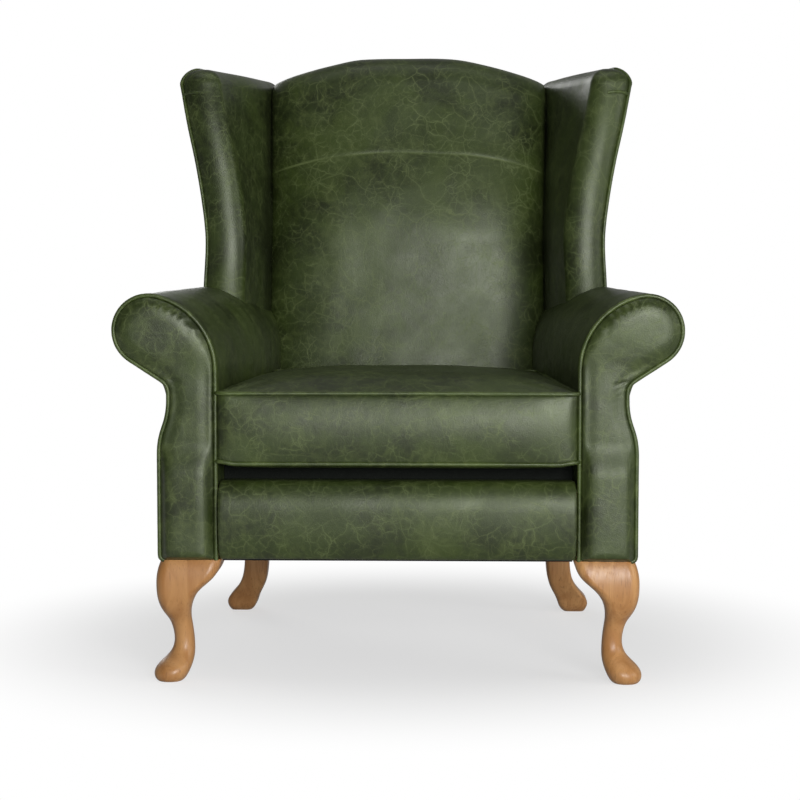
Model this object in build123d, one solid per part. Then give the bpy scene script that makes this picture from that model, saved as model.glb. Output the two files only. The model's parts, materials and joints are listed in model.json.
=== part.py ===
from build123d import *
import os
from math import cos, hypot, radians, sin, tan

# Wing armchair: a timber frame on four bolted legs, padded and covered in leather, with a loose
# seat cushion. Millimetres, +Z up, the front of the chair towards -Y. Pieces are laid out with
# Y = 0 at the front of the arms and are moved at the end so that the origin is under the middle.

# Whole chair
leg_height = 189.0          # floor to the underside of the seat frame
base_front_width = 738.0    # seat base, side to side at the front
base_rear_width = 632.0     # seat base, side to side at the back
base_depth = 640.0          # front of the arms to the foot of the outside back
seat_front_width = 558.0    # between the inside arms at the front
arm_span = 874.0            # across the two arm scrolls
arm_height = 598.0          # floor to the top of the arms
crest_height = 990.0        # floor to the top of the outside back
shoulder_height = 946.0     # floor to the outside back's top where it meets the wings
back_rake = 11.0            # lean of the back, degrees
back_width = 616.0          # across the outside back

# Covers
leather = 2.0               # hide with its lining
piping_radius = 3.5
clearance = 0.3             # between soft pieces that come apart

# Seat frame timber
rail_height = 104.0
front_rail_thick = 28.0
side_rail_thick = 32.0
rear_rail_thick = 28.0
front_post_width = 32.0
front_post_depth = 60.0
back_post_width = 66.0
back_post_depth = 45.0
corner_block_leg = 78.0
corner_block_height = 45.0
screw_radius = 2.5
screw_length = 62.0
dust_cover_thick = 1.5
dust_cover_margin = 14.0

# Arms
facing_depth = 14.0         # padded scroll panel at the front of each arm
board_thick = 18.0          # plywood behind that panel
scroll_radius = 57.0
inner_rise = 480.0          # where the inside arm starts to roll outwards
neck_angle = 33.0           # slope of the line from the scroll down to the waist, degrees
neck_radius = 18.0
waist_width = 75.0          # inside arm to the narrowest part of the outside
waist_straight = 12.0       # level part of the waist, below the neck
haunch_drop = 82.0          # waist to where the outside arm becomes straight
arm_padding = 38.0
arm_rail_width = 40.0
arm_rail_height = 36.0

# Front legs: stations down from the seat frame, with outer and inner faces set in from the base
knee_stations = ((0, 6, 99), (15, 0.5, 94.5), (37, -2, 77), (51, -1.5, 62), (66, 1, 53))
foot_stations = ((95, 14.5, 50), (63, 22.5, 53.5), (38, 13, 54), (22, -3, 50.5), (8, -6, 44), (0, 0, 36))
knee_corner = 16.0
foot_roundness = 0.48       # corner radius of the round stations as a share of their side

# Rear legs: stations up from the floor, with how far each is kicked out and its side
rear_leg_stations = (
    (0, 33, 36),
    (24, 28, 54),
    (48, 13, 47),
    (72, 4.5, 43.5),
    (96, 2, 43),
    (120, 1, 43.5),
    (144, 0.5, 44),
    (168, 0, 45),
)
rear_leg_side = 46.0
rear_leg_inset = 44.0       # base side to the leg's centre
rear_leg_setback = 26.0     # foot of the outside back to the leg's centre
rear_leg_corner = 9.0

# Leg bolts
bolt_radius = 4.0
bolt_in_leg = 45.0
bolt_in_post = 40.0
nut_radius = 9.0
nut_height = 12.0
bolt_fit = 0.2

# Seat support
spring_wire = 1.9           # radius of the wire
spring_count = 5
spring_spacing = 92.0
spring_loop_width = 46.0
spring_pitch = 27.0         # from one cross wire to the next
clip_thick = 2.0
clip_width = 56.0
deck_thick = 33.0
deck_gap = 4.0              # deck to the inside arms
border_top = 311.0          # top of the padded front border
border_roll = 26.0          # radius of its rolled top edge

# Seat cushion
cushion_height = 111.0      # seam to seam
cushion_crown = 24.0
cushion_side_gap = 8.0      # room for the piping
cushion_back_gap = 12.0
cushion_draw_in = 5.0       # how far its sides are drawn in between the corners
cushion_corner = 16.0
crown_steps = ((14, 0.45), (52, 0.8), (120, 1.0))   # drawn in, share of the crown's height

# Cushion zip
zip_length = 400.0
zip_width = 26.0
zip_thick = 1.2
zip_chain_width = 5.0
slider_size = (11.0, 2.4, 10.0)
pull_size = (6.0, 1.0, 24.0)

# Back
back_pad_width = 492.0
back_pad_thick = 98.0
hump_flat = 70.0            # half length of the level top of the crest
hump_reach = 236.0          # half width over which the crest drops to the shoulders
crown_profile = ((0, 62), (9, 82), (34, 93), (92, 98))  # drawn in, stands out from the frame
crest_rail_drop = 76.0
crest_rail_inset = 10.0
back_rail_thick = 28.0
lower_back_rail_height = 60.0
lower_back_rail_base = 350.0
webbing_width = 50.0
webbing_thick = 2.0
webbing_rows = 4
webbing_columns = 4
webbing_top = 880.0

# Wings: for each height, the outer edge at the front (from the middle) and how far back it lies
wing_stations = (
    (505, 350, 444),
    (590, 349, 442),
    (690, 346, 444),
    (745, 352, 448),
    (810, 362, 453),
    (880, 376, 461),
    (938, 386, 472),
)
wing_top = 976.0
wing_radius = 31.0          # rounding of the front edge
wing_inner_width = 492.0    # between the wings where they meet the back
wing_tips = ((24, 9), (6, 22))      # below the top, drawn in, for the rounded top edge
wing_board_thick = 18.0
wing_board_margin = 12.0
wing_seam_reach = 6.0       # depth of the seam allowance behind the outside wing

# Derived values
seat_half = seat_front_width / 2
base_half = base_front_width / 2
rear_half = base_rear_width / 2
back_half = back_width / 2
slope = (base_half - rear_half) / base_depth      # the sides close in towards the back
run_back = Vector(-slope, 1, 0)
rake = radians(back_rake)
rail_top = leg_height + rail_height
frame_front = facing_depth + board_thick
scroll_x = arm_span / 2 - scroll_radius
scroll_z = arm_height - scroll_radius
waist_half = seat_half + waist_width
neck_slant = radians(neck_angle)
neck_reach = scroll_x + scroll_radius * sin(neck_slant) - waist_half
neck_corner = scroll_z - scroll_radius * cos(neck_slant) - neck_reach * tan(neck_slant)
neck_setback = neck_radius * tan((radians(90) - neck_slant) / 2)
neck_height = neck_corner + neck_setback * sin(neck_slant)
waist_height = neck_corner - neck_setback - waist_straight
haunch_height = waist_height - haunch_drop      # below this the outside arm is straight
spring_z = rail_top + clip_thick + spring_wire
deck_bottom = spring_z + spring_wire
deck_top = deck_bottom + deck_thick
cushion_bottom = deck_top + clearance
back_pad_foot = deck_top + clearance              # height of the padded back's lower edge
post_front = leather + back_post_depth            # front of the back posts, from the outside back
far = 2000.0                                      # larger than the chair

back_plane = Plane(origin=(0, base_depth, leg_height), x_dir=(1, 0, 0), z_dir=(0, -cos(rake), sin(rake)))


def up_back(height):
    """How far up the raked back plane a given height lies."""
    return (height - leg_height) / cos(rake)


def back_y(height, forward=0.0):
    """Y of the plane that lies forward of the outside back, at a given height."""
    return base_depth + (height - leg_height) * tan(rake) - forward / cos(rake)


def behind_back(forward):
    """Everything behind the plane that lies forward of the outside back."""
    return back_plane.offset(forward) * Pos(0, 0, -far / 2) * Box(2 * far, 2 * far, far)


def box_between(low, high):
    size = [b - a for a, b in zip(low, high)]
    middle = [(a + b) / 2 for a, b in zip(low, high)]
    return Pos(*middle) * Box(*size)


def prism(points, bottom, top):
    """Upright prism on an outline given in plan."""
    face = make_face(Polyline(*points, close=True))
    return Pos(0, 0, bottom) * extrude(face, amount=top - bottom, dir=(0, 0, 1))


def arm_run(face, start, end):
    """Carries a section drawn at the front of the arm back along the arm, from start to end."""
    first = Pos(-slope * start, start, 0) * (Plane.XZ * face)
    return extrude(first, amount=(end - start) * run_back.length, dir=run_back)


def both_sides(part):
    return part, mirror(part, about=Plane.YZ)


def one_solid(shape):
    """The largest solid of a cut shape."""
    return max(shape.solids(), key=lambda s: s.volume)


nodes = {}


def keep(name, *shapes):
    solids = [s for shape in shapes for s in shape.solids()]
    nodes[name] = Compound(children=solids) if len(solids) > 1 else solids[0]


def keep_pair(name, part):
    for side, shape in zip(("right", "left"), both_sides(part)):
        keep(f"{side}_{name}", shape)


# Arm section

def arm_path(inset=0.0):
    """Edges of the arm's section from the inner foot, over the scroll, to the outer foot."""
    inner, outer, waist = seat_half + inset, base_half - inset, waist_half - inset
    radius, slant = scroll_radius - inset, neck_slant
    across, rise = scroll_x - inner, scroll_z - inner_rise
    roll = (across**2 + rise**2 - radius**2) / (2 * (across - radius))
    roll_centre = Vector(inner + roll, inner_rise)
    scroll_centre = Vector(scroll_x, scroll_z)
    meet = roll_centre + (scroll_centre - roll_centre).normalized() * roll
    leave = scroll_centre + Vector(sin(slant), -cos(slant)) * radius
    corner = Vector(waist, leave.Y - (leave.X - waist) * tan(slant))
    setback = (neck_radius + inset) * tan((radians(90) - slant) / 2)
    neck_top = corner + Vector(cos(slant), sin(slant)) * setback
    neck_foot = corner - Vector(0, setback)
    haunch = Vector(outer, haunch_height)
    hollow = Vector(waist, waist_height)
    middle = (haunch + hollow) / 2
    outermost = scroll_centre + Vector(radius, 0)
    return [
        Line((inner, leg_height), (inner, inner_rise)),
        TangentArc((inner, inner_rise), meet, tangent=(0, 1)),
        TangentArc(outermost, meet, tangent=(0, 1)),
        TangentArc(outermost, leave, tangent=(0, -1)),
        Line(leave, neck_top),
        TangentArc(neck_foot, neck_top, tangent=(0, 1)),
        Line(neck_foot, hollow),
        TangentArc(hollow, middle, tangent=(0, -1)),
        TangentArc(haunch, middle, tangent=(0, 1)),
        Line(haunch, (outer, leg_height)),
    ]


def arm_face(inset=0.0):
    foot = Line((base_half - inset, leg_height), (seat_half + inset, leg_height))
    return make_face([*arm_path(inset), foot])


def section_box(x_low, x_high, z_low, z_high):
    return Pos((x_low + x_high) / 2, (z_low + z_high) / 2) * Rectangle(x_high - x_low, z_high - z_low)


arm_end = back_y(arm_height) + scroll_radius
outer_low = section_box(seat_half + arm_padding, far, -far, neck_height)
below_deck = section_box(-far, far, -far, deck_bottom)
arm_core = arm_face(leather)
arm_skin = arm_face() - arm_core
webbing_front = post_front + 2 * webbing_thick + clearance
back_block = back_plane * Pos(0, 0, webbing_front / 2) * Box(back_width, 2 * far, webbing_front)
arm_whole = arm_run(arm_face(), facing_depth, arm_end)
arm_limit = behind_back(0)


# Timber frame

def front_post():
    outer = base_half - leather - side_rail_thick
    inner = outer - front_post_width
    section = section_box(inner, outer, leg_height, neck_height)
    return arm_run(section, frame_front, frame_front + front_post_depth)


def side_rail():
    outer = base_half - leather
    section = section_box(outer - side_rail_thick, outer, leg_height, rail_top)
    return one_solid(arm_run(section, frame_front, base_depth) - behind_back(post_front))


def front_rail():
    half = base_half - leather - side_rail_thick - front_post_width
    back = frame_front + front_rail_thick
    ends = [(half - slope * frame_front, frame_front), (half - slope * back, back)]
    return prism([(-x, y) for x, y in ends] + ends[::-1], leg_height, rail_top)


def back_post():
    outer = back_half - leather
    upright = up_back(shoulder_height) - crest_rail_inset
    post = back_plane * box_between(
        (outer - back_post_width, -far / 4, leather), (outer, upright, post_front))
    return post - box_between((-far, -far, -far), (far, far, leg_height))


def rear_rail():
    half = back_half - leather - back_post_width
    back = base_depth - leather
    return box_between((-half, back - rear_rail_thick, leg_height), (half, back, rail_top))


def crest_outline(half_width, inset, foot):
    """Outline of the back in its own plane: level foot, straight sides and a humped top."""
    side, low = half_width - inset, foot + inset
    top, shoulder = up_back(crest_height) - inset, up_back(shoulder_height) - inset
    reach = min(hump_reach, side - 1)
    turn = (reach + hump_flat) / 2
    level = (top + shoulder) / 2
    edges = []
    for sign in (1, -1):
        edges += [
            Line((sign * side, low), (sign * side, shoulder)),
            Line((sign * side, shoulder), (sign * reach, shoulder)),
            TangentArc((sign * reach, shoulder), (sign * turn, level), tangent=(-sign, 0)),
            TangentArc((sign * hump_flat, top), (sign * turn, level), tangent=(sign, 0)),
        ]
    edges += [Line((hump_flat, top), (-hump_flat, top)), Line((-side, low), (side, low))]
    return make_face(edges)


def crest_rail():
    half = back_half - leather - back_post_width
    shape = crest_outline(half, 0, up_back(shoulder_height) - crest_rail_drop)
    rail = back_plane.offset(post_front) * extrude(shape, amount=-back_rail_thick)
    drop = back_plane.y_dir * -crest_rail_inset
    return Pos(*drop) * rail


def lower_back_rail():
    half = back_half - leather - back_post_width
    low = up_back(lower_back_rail_base)
    return back_plane * box_between(
        (-half, low, post_front - back_rail_thick), (half, low + lower_back_rail_height, post_front))


def arm_rail():
    inner = seat_half + arm_padding
    section = section_box(inner, inner + arm_rail_width, neck_height, neck_height + arm_rail_height)
    return one_solid(arm_run(section, frame_front, arm_end) - behind_back(post_front))


def corner_block(front):
    """Glued and screwed block in an inside corner of the seat frame, with its two screw holes."""
    if front:
        side = base_half - leather - side_rail_thick - front_post_width
        y, way = frame_front + front_rail_thick, 1
    else:
        side, y, way = back_half - leather - back_post_width, base_depth - leather - rear_rail_thick, -1
    x = side - (slope * y if front else 0)
    tail = x - (slope * corner_block_leg if front else 0)
    points = [(x, y), (x - corner_block_leg, y), (tail, y + way * corner_block_leg)]
    return prism(points, leg_height, leg_height + corner_block_height)


def block_screw(front):
    """Screw through a corner block into the rail in front of it or behind it."""
    y = frame_front + front_rail_thick if front else base_depth - leather - rear_rail_thick
    way = 1 if front else -1
    if front:
        corner = base_half - leather - side_rail_thick - front_post_width
    else:
        corner = back_half - leather - back_post_width
    x = corner - corner_block_leg / 2 - (slope * y if front else 0)
    z = leg_height + corner_block_height / 2
    rail = front_rail_thick if front else rear_rail_thick
    start = y + way * (screw_length - rail + screw_radius)
    return Pos(x, start, z) * Rot(way * 90, 0, 0) * Cylinder(
        screw_radius, screw_length, align=(Align.CENTER, Align.CENTER, Align.MIN))


def leg_centre(front):
    if front:
        drop, outer, inner = knee_stations[0]
        middle = (outer + inner) / 2
        return base_half - middle, middle
    return rear_half - rear_leg_inset, base_depth - rear_leg_setback


def leg_bolt(front):
    x, y = leg_centre(front)
    shank = Pos(x, y, leg_height - bolt_in_leg) * Cylinder(
        bolt_radius, bolt_in_leg + bolt_in_post, align=(Align.CENTER, Align.CENTER, Align.MIN))
    return shank


def leg_nut(front):
    x, y = leg_centre(front)
    ring = Cylinder(nut_radius, nut_height) - Cylinder(bolt_radius + bolt_fit, nut_height)
    return Pos(x, y, leg_height + bolt_in_post - nut_height) * ring


def bolt_hole(front, radius, low, high):
    x, y = leg_centre(front)
    return Pos(x, y, low) * Cylinder(radius, high - low, align=(Align.CENTER, Align.CENTER, Align.MIN))


def post_with_nut(post, front):
    """Post bored from below for the leg bolt, with the threaded insert's seat at the end."""
    top = leg_height + bolt_in_post
    post -= bolt_hole(front, bolt_radius + bolt_fit, leg_height, top + bolt_fit)
    return post - bolt_hole(front, nut_radius, top - nut_height * 1.5, top - nut_height / 2)


# Legs

def front_leg():
    """Cabriole leg lofted from the square knee through the round ankle to the pad foot."""
    sections = []
    for drop, outer, inner in knee_stations:
        sections.append((leg_height - drop, outer, inner, knee_corner))
    for height, outer, inner in foot_stations:
        sections.append((height, outer, inner, (inner - outer) * foot_roundness))
    faces = []
    for height, outer, inner, corner in sections:
        middle = (outer + inner) / 2
        square = RectangleRounded(inner - outer, inner - outer, corner)
        faces.append(Pos(base_half - middle, middle, height) * square)
    return loft(faces)


def rear_leg():
    """Square leg that sweeps out and back to the foot."""
    x, y = leg_centre(False)
    stations = [*rear_leg_stations, (leg_height, 0, rear_leg_side)]
    faces = [
        Pos(x + kick, y + kick, height) * RectangleRounded(side, side, rear_leg_corner)
        for height, kick, side in stations
    ]
    return loft(faces)


# Seat support

def spring_run():
    """From the middle of the front rail's top to the middle of the rear rail's top."""
    return frame_front + front_rail_thick / 2, base_depth - leather - rear_rail_thick / 2


def seat_spring(x):
    """One zigzag spring: straight cross wires joined by round turns."""
    first, last = spring_run()
    steps = 2 * int((last - first) / spring_pitch / 2)
    pitch = (last - first) / steps
    half = spring_loop_width / 2
    points = [(x, first, spring_z)]
    for i in range(steps):
        side = half if i % 2 else -half
        points += [(x + side, first + i * pitch, spring_z), (x + side, first + (i + 1) * pitch, spring_z)]
    points.append((x, last, spring_z))
    path = FilletPolyline(*points, radius=pitch * 0.45)
    profile = Plane(origin=path @ 0, z_dir=path % 0) * Circle(spring_wire)
    return sweep(profile, path=path)


def spring_clip(x, y):
    return box_between((x - clip_width / 2, y - spring_wire * 2, rail_top),
                       (x + clip_width / 2, y + spring_wire * 2, rail_top + clip_thick))


def deck_points(y_front, y_back, gap):
    front, back = (seat_half - slope * y - gap for y in (y_front, y_back))
    return [(-front, y_front), (front, y_front), (back, y_back), (-back, y_back)]


def seat_deck():
    y_back = back_y(deck_bottom, post_front)
    return prism(deck_points(frame_front + front_rail_thick, y_back, deck_gap), deck_bottom, deck_top)


def border_section(inset):
    """Side view of the padded front border, rolled over the front rail."""
    low, front, back = leg_height, inset, frame_front + front_rail_thick
    top, roll = border_top - inset, border_roll - inset
    edges = [
        Line((front, low), (front, top - roll)),
        TangentArc((front, top - roll), (front + roll, top), tangent=(0, 1)),
        Polyline((front + roll, top), (back, top), (back, rail_top), (frame_front, rail_top),
                 (frame_front, low), (front, low)),
    ]
    return Plane.YZ * make_face(edges)


def border_part(section):
    half = seat_half
    part = Pos(-half, 0, 0) * extrude(section, amount=2 * half, dir=(1, 0, 0))
    beyond = arm_run(section_box(seat_half - clearance, far, 0, far), -facing_depth, base_depth)
    for cut in both_sides(beyond):
        part -= cut
    return part


def spring_slots():
    """Room for the springs and clips where the border's padding lies over the front rail."""
    y_front = frame_front - clearance
    half = (spring_count - 1) * spring_spacing / 2 + clip_width / 2 + spring_loop_width
    return box_between((-half, y_front, rail_top), (half, far, deck_bottom + clearance))


# Seat cushion

cushion_front = piping_radius
cushion_top = cushion_bottom + cushion_height


def cushion_back(height):
    return back_y(height, post_front + back_pad_thick) - cushion_back_gap


def cushion_outline(height, inset):
    """Plan of the cushion at a height: straight back, the other sides drawn in between corners."""
    front, back = cushion_front + inset, cushion_back(height) - inset
    wide = seat_half - slope * front - cushion_side_gap - inset
    narrow = seat_half - slope * back - cushion_side_gap - inset
    edges = [SagittaArc((-wide, front), (wide, front), cushion_draw_in)]
    for sign in (1, -1):
        edges.append(SagittaArc((sign * wide, front), (sign * narrow, back), sign * cushion_draw_in))
    edges.append(Line((-narrow, back), (narrow, back)))
    face = make_face(edges)
    return Pos(0, 0, height) * fillet(face.vertices(), cushion_corner)


def cushion_form(inset):
    """Boxed cushion with a crowned top, drawn in on every side."""
    low, seam = cushion_bottom + inset, cushion_top - inset
    body = loft([cushion_outline(low, inset), cushion_outline(seam, inset)])
    steps = [(0, 0), *crown_steps]
    crown = loft([
        Pos(0, 0, share * cushion_crown) * cushion_outline(seam, inset + drawn) for drawn, share in steps
    ], ruled=True)
    return body + crown


def cushion_piping(height):
    """Welt along a seam, lying against the outside of the border."""
    rim = cushion_outline(height, -piping_radius - clearance / 2).face().outer_wire()
    profile = Plane(origin=rim @ 0, z_dir=rim % 0) * Circle(piping_radius)
    return sweep(profile, path=rim)


def zip_plane():
    """Plane of the cushion's back border at mid height, facing backwards."""
    low, high = cushion_back(cushion_bottom), cushion_back(cushion_top)
    along = Vector(0, high - low, cushion_height).normalized()
    middle = (0, (low + high) / 2, cushion_bottom + cushion_height / 2)
    return Plane(origin=middle, x_dir=(-1, 0, 0), z_dir=Vector(-1, 0, 0).cross(along))


def zip_pieces():
    """Tape with its chain, and the slider that rests at one end of it."""
    plane = zip_plane()
    flat = (Align.CENTER, Align.CENTER, Align.MIN)
    tape = Box(zip_length, zip_width, zip_thick, align=flat)
    chain = Pos(0, 0, zip_thick) * Box(zip_length, zip_chain_width, zip_thick, align=flat)
    width, thick, height = slider_size
    pull_width, pull_thick, pull_height = pull_size
    lift = 2 * zip_thick + clearance
    body = Pos(0, 0, lift) * Box(width, height, thick, align=flat)
    pull = Pos(0, -pull_height / 2 + height / 4, lift + thick) * Box(
        pull_width, pull_height, pull_thick, align=flat)
    parked = -(zip_length - width) / 2
    return plane * (tape + chain), plane * Pos(parked, 0, 0) * (body + pull)


# Back and wings

def back_form(inset):
    """Padded back: outlines drawn in as they stand out from the frame."""
    faces = []
    for drawn, stand in crown_profile:
        outline = crest_outline(back_pad_width / 2, drawn + inset, up_back(back_pad_foot))
        faces.append(back_plane.offset(post_front + stand - inset) * outline)
    foot = back_plane.offset(post_front + 2 * webbing_thick) * crest_outline(
        back_pad_width / 2, inset, up_back(back_pad_foot))
    return loft([foot, faces[0]], ruled=True) + loft(faces, ruled=True)


def crest_fold():
    """Leather carried from the padded back over the crest rail to the outside back."""
    foot = up_back(shoulder_height) - crest_rail_drop / 2
    half = back_pad_width / 2
    strip = crest_outline(half, 0, foot) - crest_outline(half + 2 * leather, leather, foot - 2 * leather)
    reach = post_front + 2 * webbing_thick - leather
    return back_plane.offset(leather) * extrude(strip, amount=reach)


def outside_back():
    """Leather panel on the back, folded round the sides of the back posts up to the arms."""
    panel = extrude(crest_outline(back_half, 0, 0), amount=leather)
    for sign in (1, -1):
        edge = sign * (back_half - leather / 2)
        fold_rise = up_back(scroll_z)
        fold = Pos(edge, fold_rise / 2, post_front / 2) * Box(leather, fold_rise, post_front)
        panel += fold
    return one_solid(back_plane * panel - box_between((-far, -far, -far), (far, far, leg_height)))


def wing_section(height, outer, front, drawn):
    """Plan of the wing at a height: from the back, round its front edge and back again."""
    y_back = back_y(height, leather)
    inner_back = Vector(wing_inner_width / 2 + drawn, y_back)
    outer_back = Vector(back_half - drawn, y_back)
    radius = wing_radius - drawn
    centre = Vector(outer - wing_radius, front + wing_radius)
    ahead = (centre - (inner_back + outer_back) / 2).normalized()
    aside = Vector(-ahead.Y, ahead.X)
    if aside.X < 0:
        aside = aside * -1
    inner_tip, outer_tip, tip = centre - aside * radius, centre + aside * radius, centre + ahead * radius
    edges = [
        Line(inner_back, inner_tip),
        TangentArc(inner_tip, tip, tangent=ahead),
        TangentArc(outer_tip, tip, tangent=ahead),
        Line(outer_tip, outer_back),
        Line(outer_back, inner_back),
    ]
    return edges, outer_tip, outer_back


def wing_levels():
    """Stations up the wing, with the rounded top edge at the end: height, outer, front, drawn in."""
    height, outer, front = wing_stations[-1]
    return [(*station, 0) for station in wing_stations] + [
        (wing_top - below, outer, front, drawn) for below, drawn in wing_tips]


def wing_form(inset):
    faces = []
    for height, outer, front, drawn in wing_levels():
        edges = wing_section(height - (inset if drawn else 0), outer, front, drawn + inset)[0]
        faces.append(Pos(0, 0, height - (inset if drawn else 0)) * make_face(edges))
    return loft(faces, ruled=True)


def outside_wing_zone():
    """The wing's outer side, behind the piped seam."""
    faces = []
    for height, outer, front, drawn in wing_levels():
        seam, back = wing_section(height, outer, front, drawn)[1:]
        seam += (back - seam).normalized() * piping_radius
        back += (back - seam).normalized() * wing_radius
        inward = Vector(-wing_seam_reach, 0)
        outward = Vector(wing_radius, 0)
        outline = Polyline(seam + outward, back + outward, back + inward, seam + inward, close=True)
        faces.append(Pos(0, 0, height) * make_face(outline))
    return loft(faces, ruled=True)


def wing_piping():
    """Piped seam up the outer front edge of the wing."""
    faces = []
    for height, outer, front, drawn in wing_levels():
        seam = wing_section(height, outer, front, drawn)[1]
        faces.append(Pos(seam.X, seam.Y, height) * Circle(piping_radius))
    return loft(faces, ruled=True)


def wing_board():
    """Plywood wing panel, standing in front of the back post inside the padding."""
    faces = []
    for height, outer, front, drawn in wing_levels()[1:len(wing_stations)]:
        y_back = back_y(height, post_front)
        x_back = back_half - leather - back_post_width / 2
        tip = Vector(outer - wing_radius, front + wing_radius + wing_board_margin)
        half = Vector(wing_board_thick / 2, 0)
        back = Vector(x_back, y_back)
        outline = Polyline(back - half, back + half, tip + half, tip - half, close=True)
        faces.append(Pos(0, 0, height) * make_face(outline))
    return loft(faces, ruled=True)


def back_webbing():
    half = wing_inner_width / 2 - clearance
    low, high = up_back(lower_back_rail_base + lower_back_rail_height), up_back(webbing_top)
    row_step = (high - low) / webbing_rows
    strips = []
    for i in range(webbing_rows):
        middle = low + (i + 0.5) * row_step
        strips.append(box_between((-half, middle - webbing_width / 2, post_front),
                                  (half, middle + webbing_width / 2, post_front + webbing_thick)))
    reach = back_half - leather - back_post_width
    column_step = 2 * reach / webbing_columns
    foot = up_back(lower_back_rail_base) + lower_back_rail_height / 4
    head = up_back(shoulder_height) - crest_rail_drop / 2
    for i in range(webbing_columns):
        middle = -reach + (i + 0.5) * column_step
        strips.append(box_between(
            (middle - webbing_width / 2, foot, post_front + webbing_thick),
            (middle + webbing_width / 2, head, post_front + 2 * webbing_thick)))
    return [back_plane * s for s in strips]


def build():
    """Makes every piece and stores it under its name."""
    post, rear_post = front_post(), back_post()
    rail_side, rail_arm = side_rail(), arm_rail()
    board = arm_run(arm_core, facing_depth, frame_front)
    screws = {front: block_screw(front) for front in (True, False)}
    blocks = {front: corner_block(front) - screws[front] for front in (True, False)}
    bolts = [leg_bolt(front) for front in (True, False)]
    nuts = [leg_nut(front) for front in (True, False)]

    keep_pair("front_post", post_with_nut(post, True) - leg_nut(True))
    keep_pair("back_post", post_with_nut(rear_post, False) - leg_nut(False))
    keep_pair("seat_rail", rail_side)
    keep_pair("arm_rail", rail_arm)
    keep_pair("scroll_board", board)
    keep("front_seat_rail", front_rail() - both_sides(screws[True])[0] - both_sides(screws[True])[1])
    keep("rear_seat_rail", rear_rail() - both_sides(screws[False])[0] - both_sides(screws[False])[1])
    keep("crest_rail", crest_rail())
    keep("lower_back_rail", lower_back_rail())
    keep("corner_blocks", *[s for b in blocks.values() for s in both_sides(b)])
    keep("frame_screws", *[s for b in screws.values() for s in both_sides(b)])
    keep("leg_bolts", *[s for b in bolts for s in both_sides(b)])
    keep("leg_nuts", *[s for b in nuts for s in both_sides(b)])

    bore = [bolt_hole(front, bolt_radius + bolt_fit, leg_height - bolt_in_leg - bolt_fit, leg_height)
            for front in (True, False)]
    leg_front, leg_rear = front_leg(), rear_leg()
    keep_pair("front_leg", leg_front - bore[0])
    keep_pair("rear_leg", leg_rear - bore[1])

    first, last = spring_run()
    places = [(i - (spring_count - 1) / 2) * spring_spacing for i in range(spring_count)]
    keep("seat_springs", *[seat_spring(x) for x in places])
    keep("spring_clips", *[spring_clip(x, y) for x in places for y in (first, last)])

    wing, wing_core, wing_ply = wing_form(0), wing_form(leather), wing_board()
    padded_back, back_core = back_form(0), back_form(leather)
    arms = both_sides(arm_whole - back_block)
    wings = both_sides(wing)

    arm_cover = arm_run(arm_skin - outer_low - below_deck, facing_depth, arm_end)
    arm_cap = arm_run(arm_core - outer_low - below_deck, frame_front, arm_end) & (
        behind_back(leather) - behind_back(0))
    keep_pair("arm_cover", one_solid((arm_cover + arm_cap) - arm_limit - back_block))
    arm_foam = arm_run(arm_core - outer_low - below_deck, frame_front, arm_end)
    arm_foam = arm_foam - behind_back(leather) - back_block - rail_arm - post - rail_side
    keep_pair("arm_padding", one_solid(arm_foam))
    outside_arm = arm_run(arm_skin & outer_low, facing_depth, arm_end) - arm_limit - back_block
    keep_pair("outside_arm", one_solid(outside_arm))
    keep_pair("arm_facing", arm_run(arm_face(2 * piping_radius + clearance), 0, facing_depth))
    keep_pair("facing_piping", facing_piping())

    zone = outside_wing_zone()
    wing_skin = wing - wing_core - arm_whole - rear_post - crest_rail()
    piping = wing_piping()
    keep_pair("outside_wing", one_solid(wing_skin & zone))
    keep_pair("wing_cover", one_solid(wing_skin - zone - piping))
    keep_pair("wing_board", one_solid(wing_ply - arm_whole - rail_arm))
    keep_pair("wing_padding", one_solid(wing_core - arm_whole - rear_post - wing_ply - crest_rail()))
    keep_pair("wing_piping", one_solid(piping - arm_whole - wing_core - (wing_skin & zone)))

    skin = (padded_back - back_core) + crest_fold()
    for arm, side in zip(arms, wings):
        skin, back_core = skin - arm - side, back_core - arm - side
    keep("back_cover", one_solid(skin))
    keep("back_padding", one_solid(back_core))
    keep("back_webbing", *back_webbing())
    keep("outside_back", outside_back())

    border = border_part(border_section(0)) - border_part(border_section(leather))
    keep("front_border_cover", one_solid(border))
    keep("front_border_padding", one_solid(border_part(border_section(leather)) - spring_slots()))
    keep("seat_deck", seat_deck())

    outer_form, inner_form = cushion_form(0), cushion_form(leather)
    keep("cushion_cover", one_solid(outer_form - inner_form))
    keep("cushion_core", cushion_form(leather + clearance))
    keep("cushion_piping", *[cushion_piping(z) for z in (cushion_bottom + piping_radius, cushion_top)])
    tape, slider = zip_pieces()
    keep("cushion_zip", tape)
    keep("zip_slider", slider)
    keep("dust_cover", dust_cover())


def facing_piping():
    """Welt round the scroll panel, from one foot of the panel to the other."""
    path = Wire(arm_path(piping_radius))
    set_back = facing_depth - piping_radius
    path = Pos(-slope * set_back, set_back, 0) * (Plane.XZ * path)
    profile = Plane(origin=path @ 0, z_dir=path % 0) * Circle(piping_radius)
    return sweep(profile, path=path)


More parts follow.
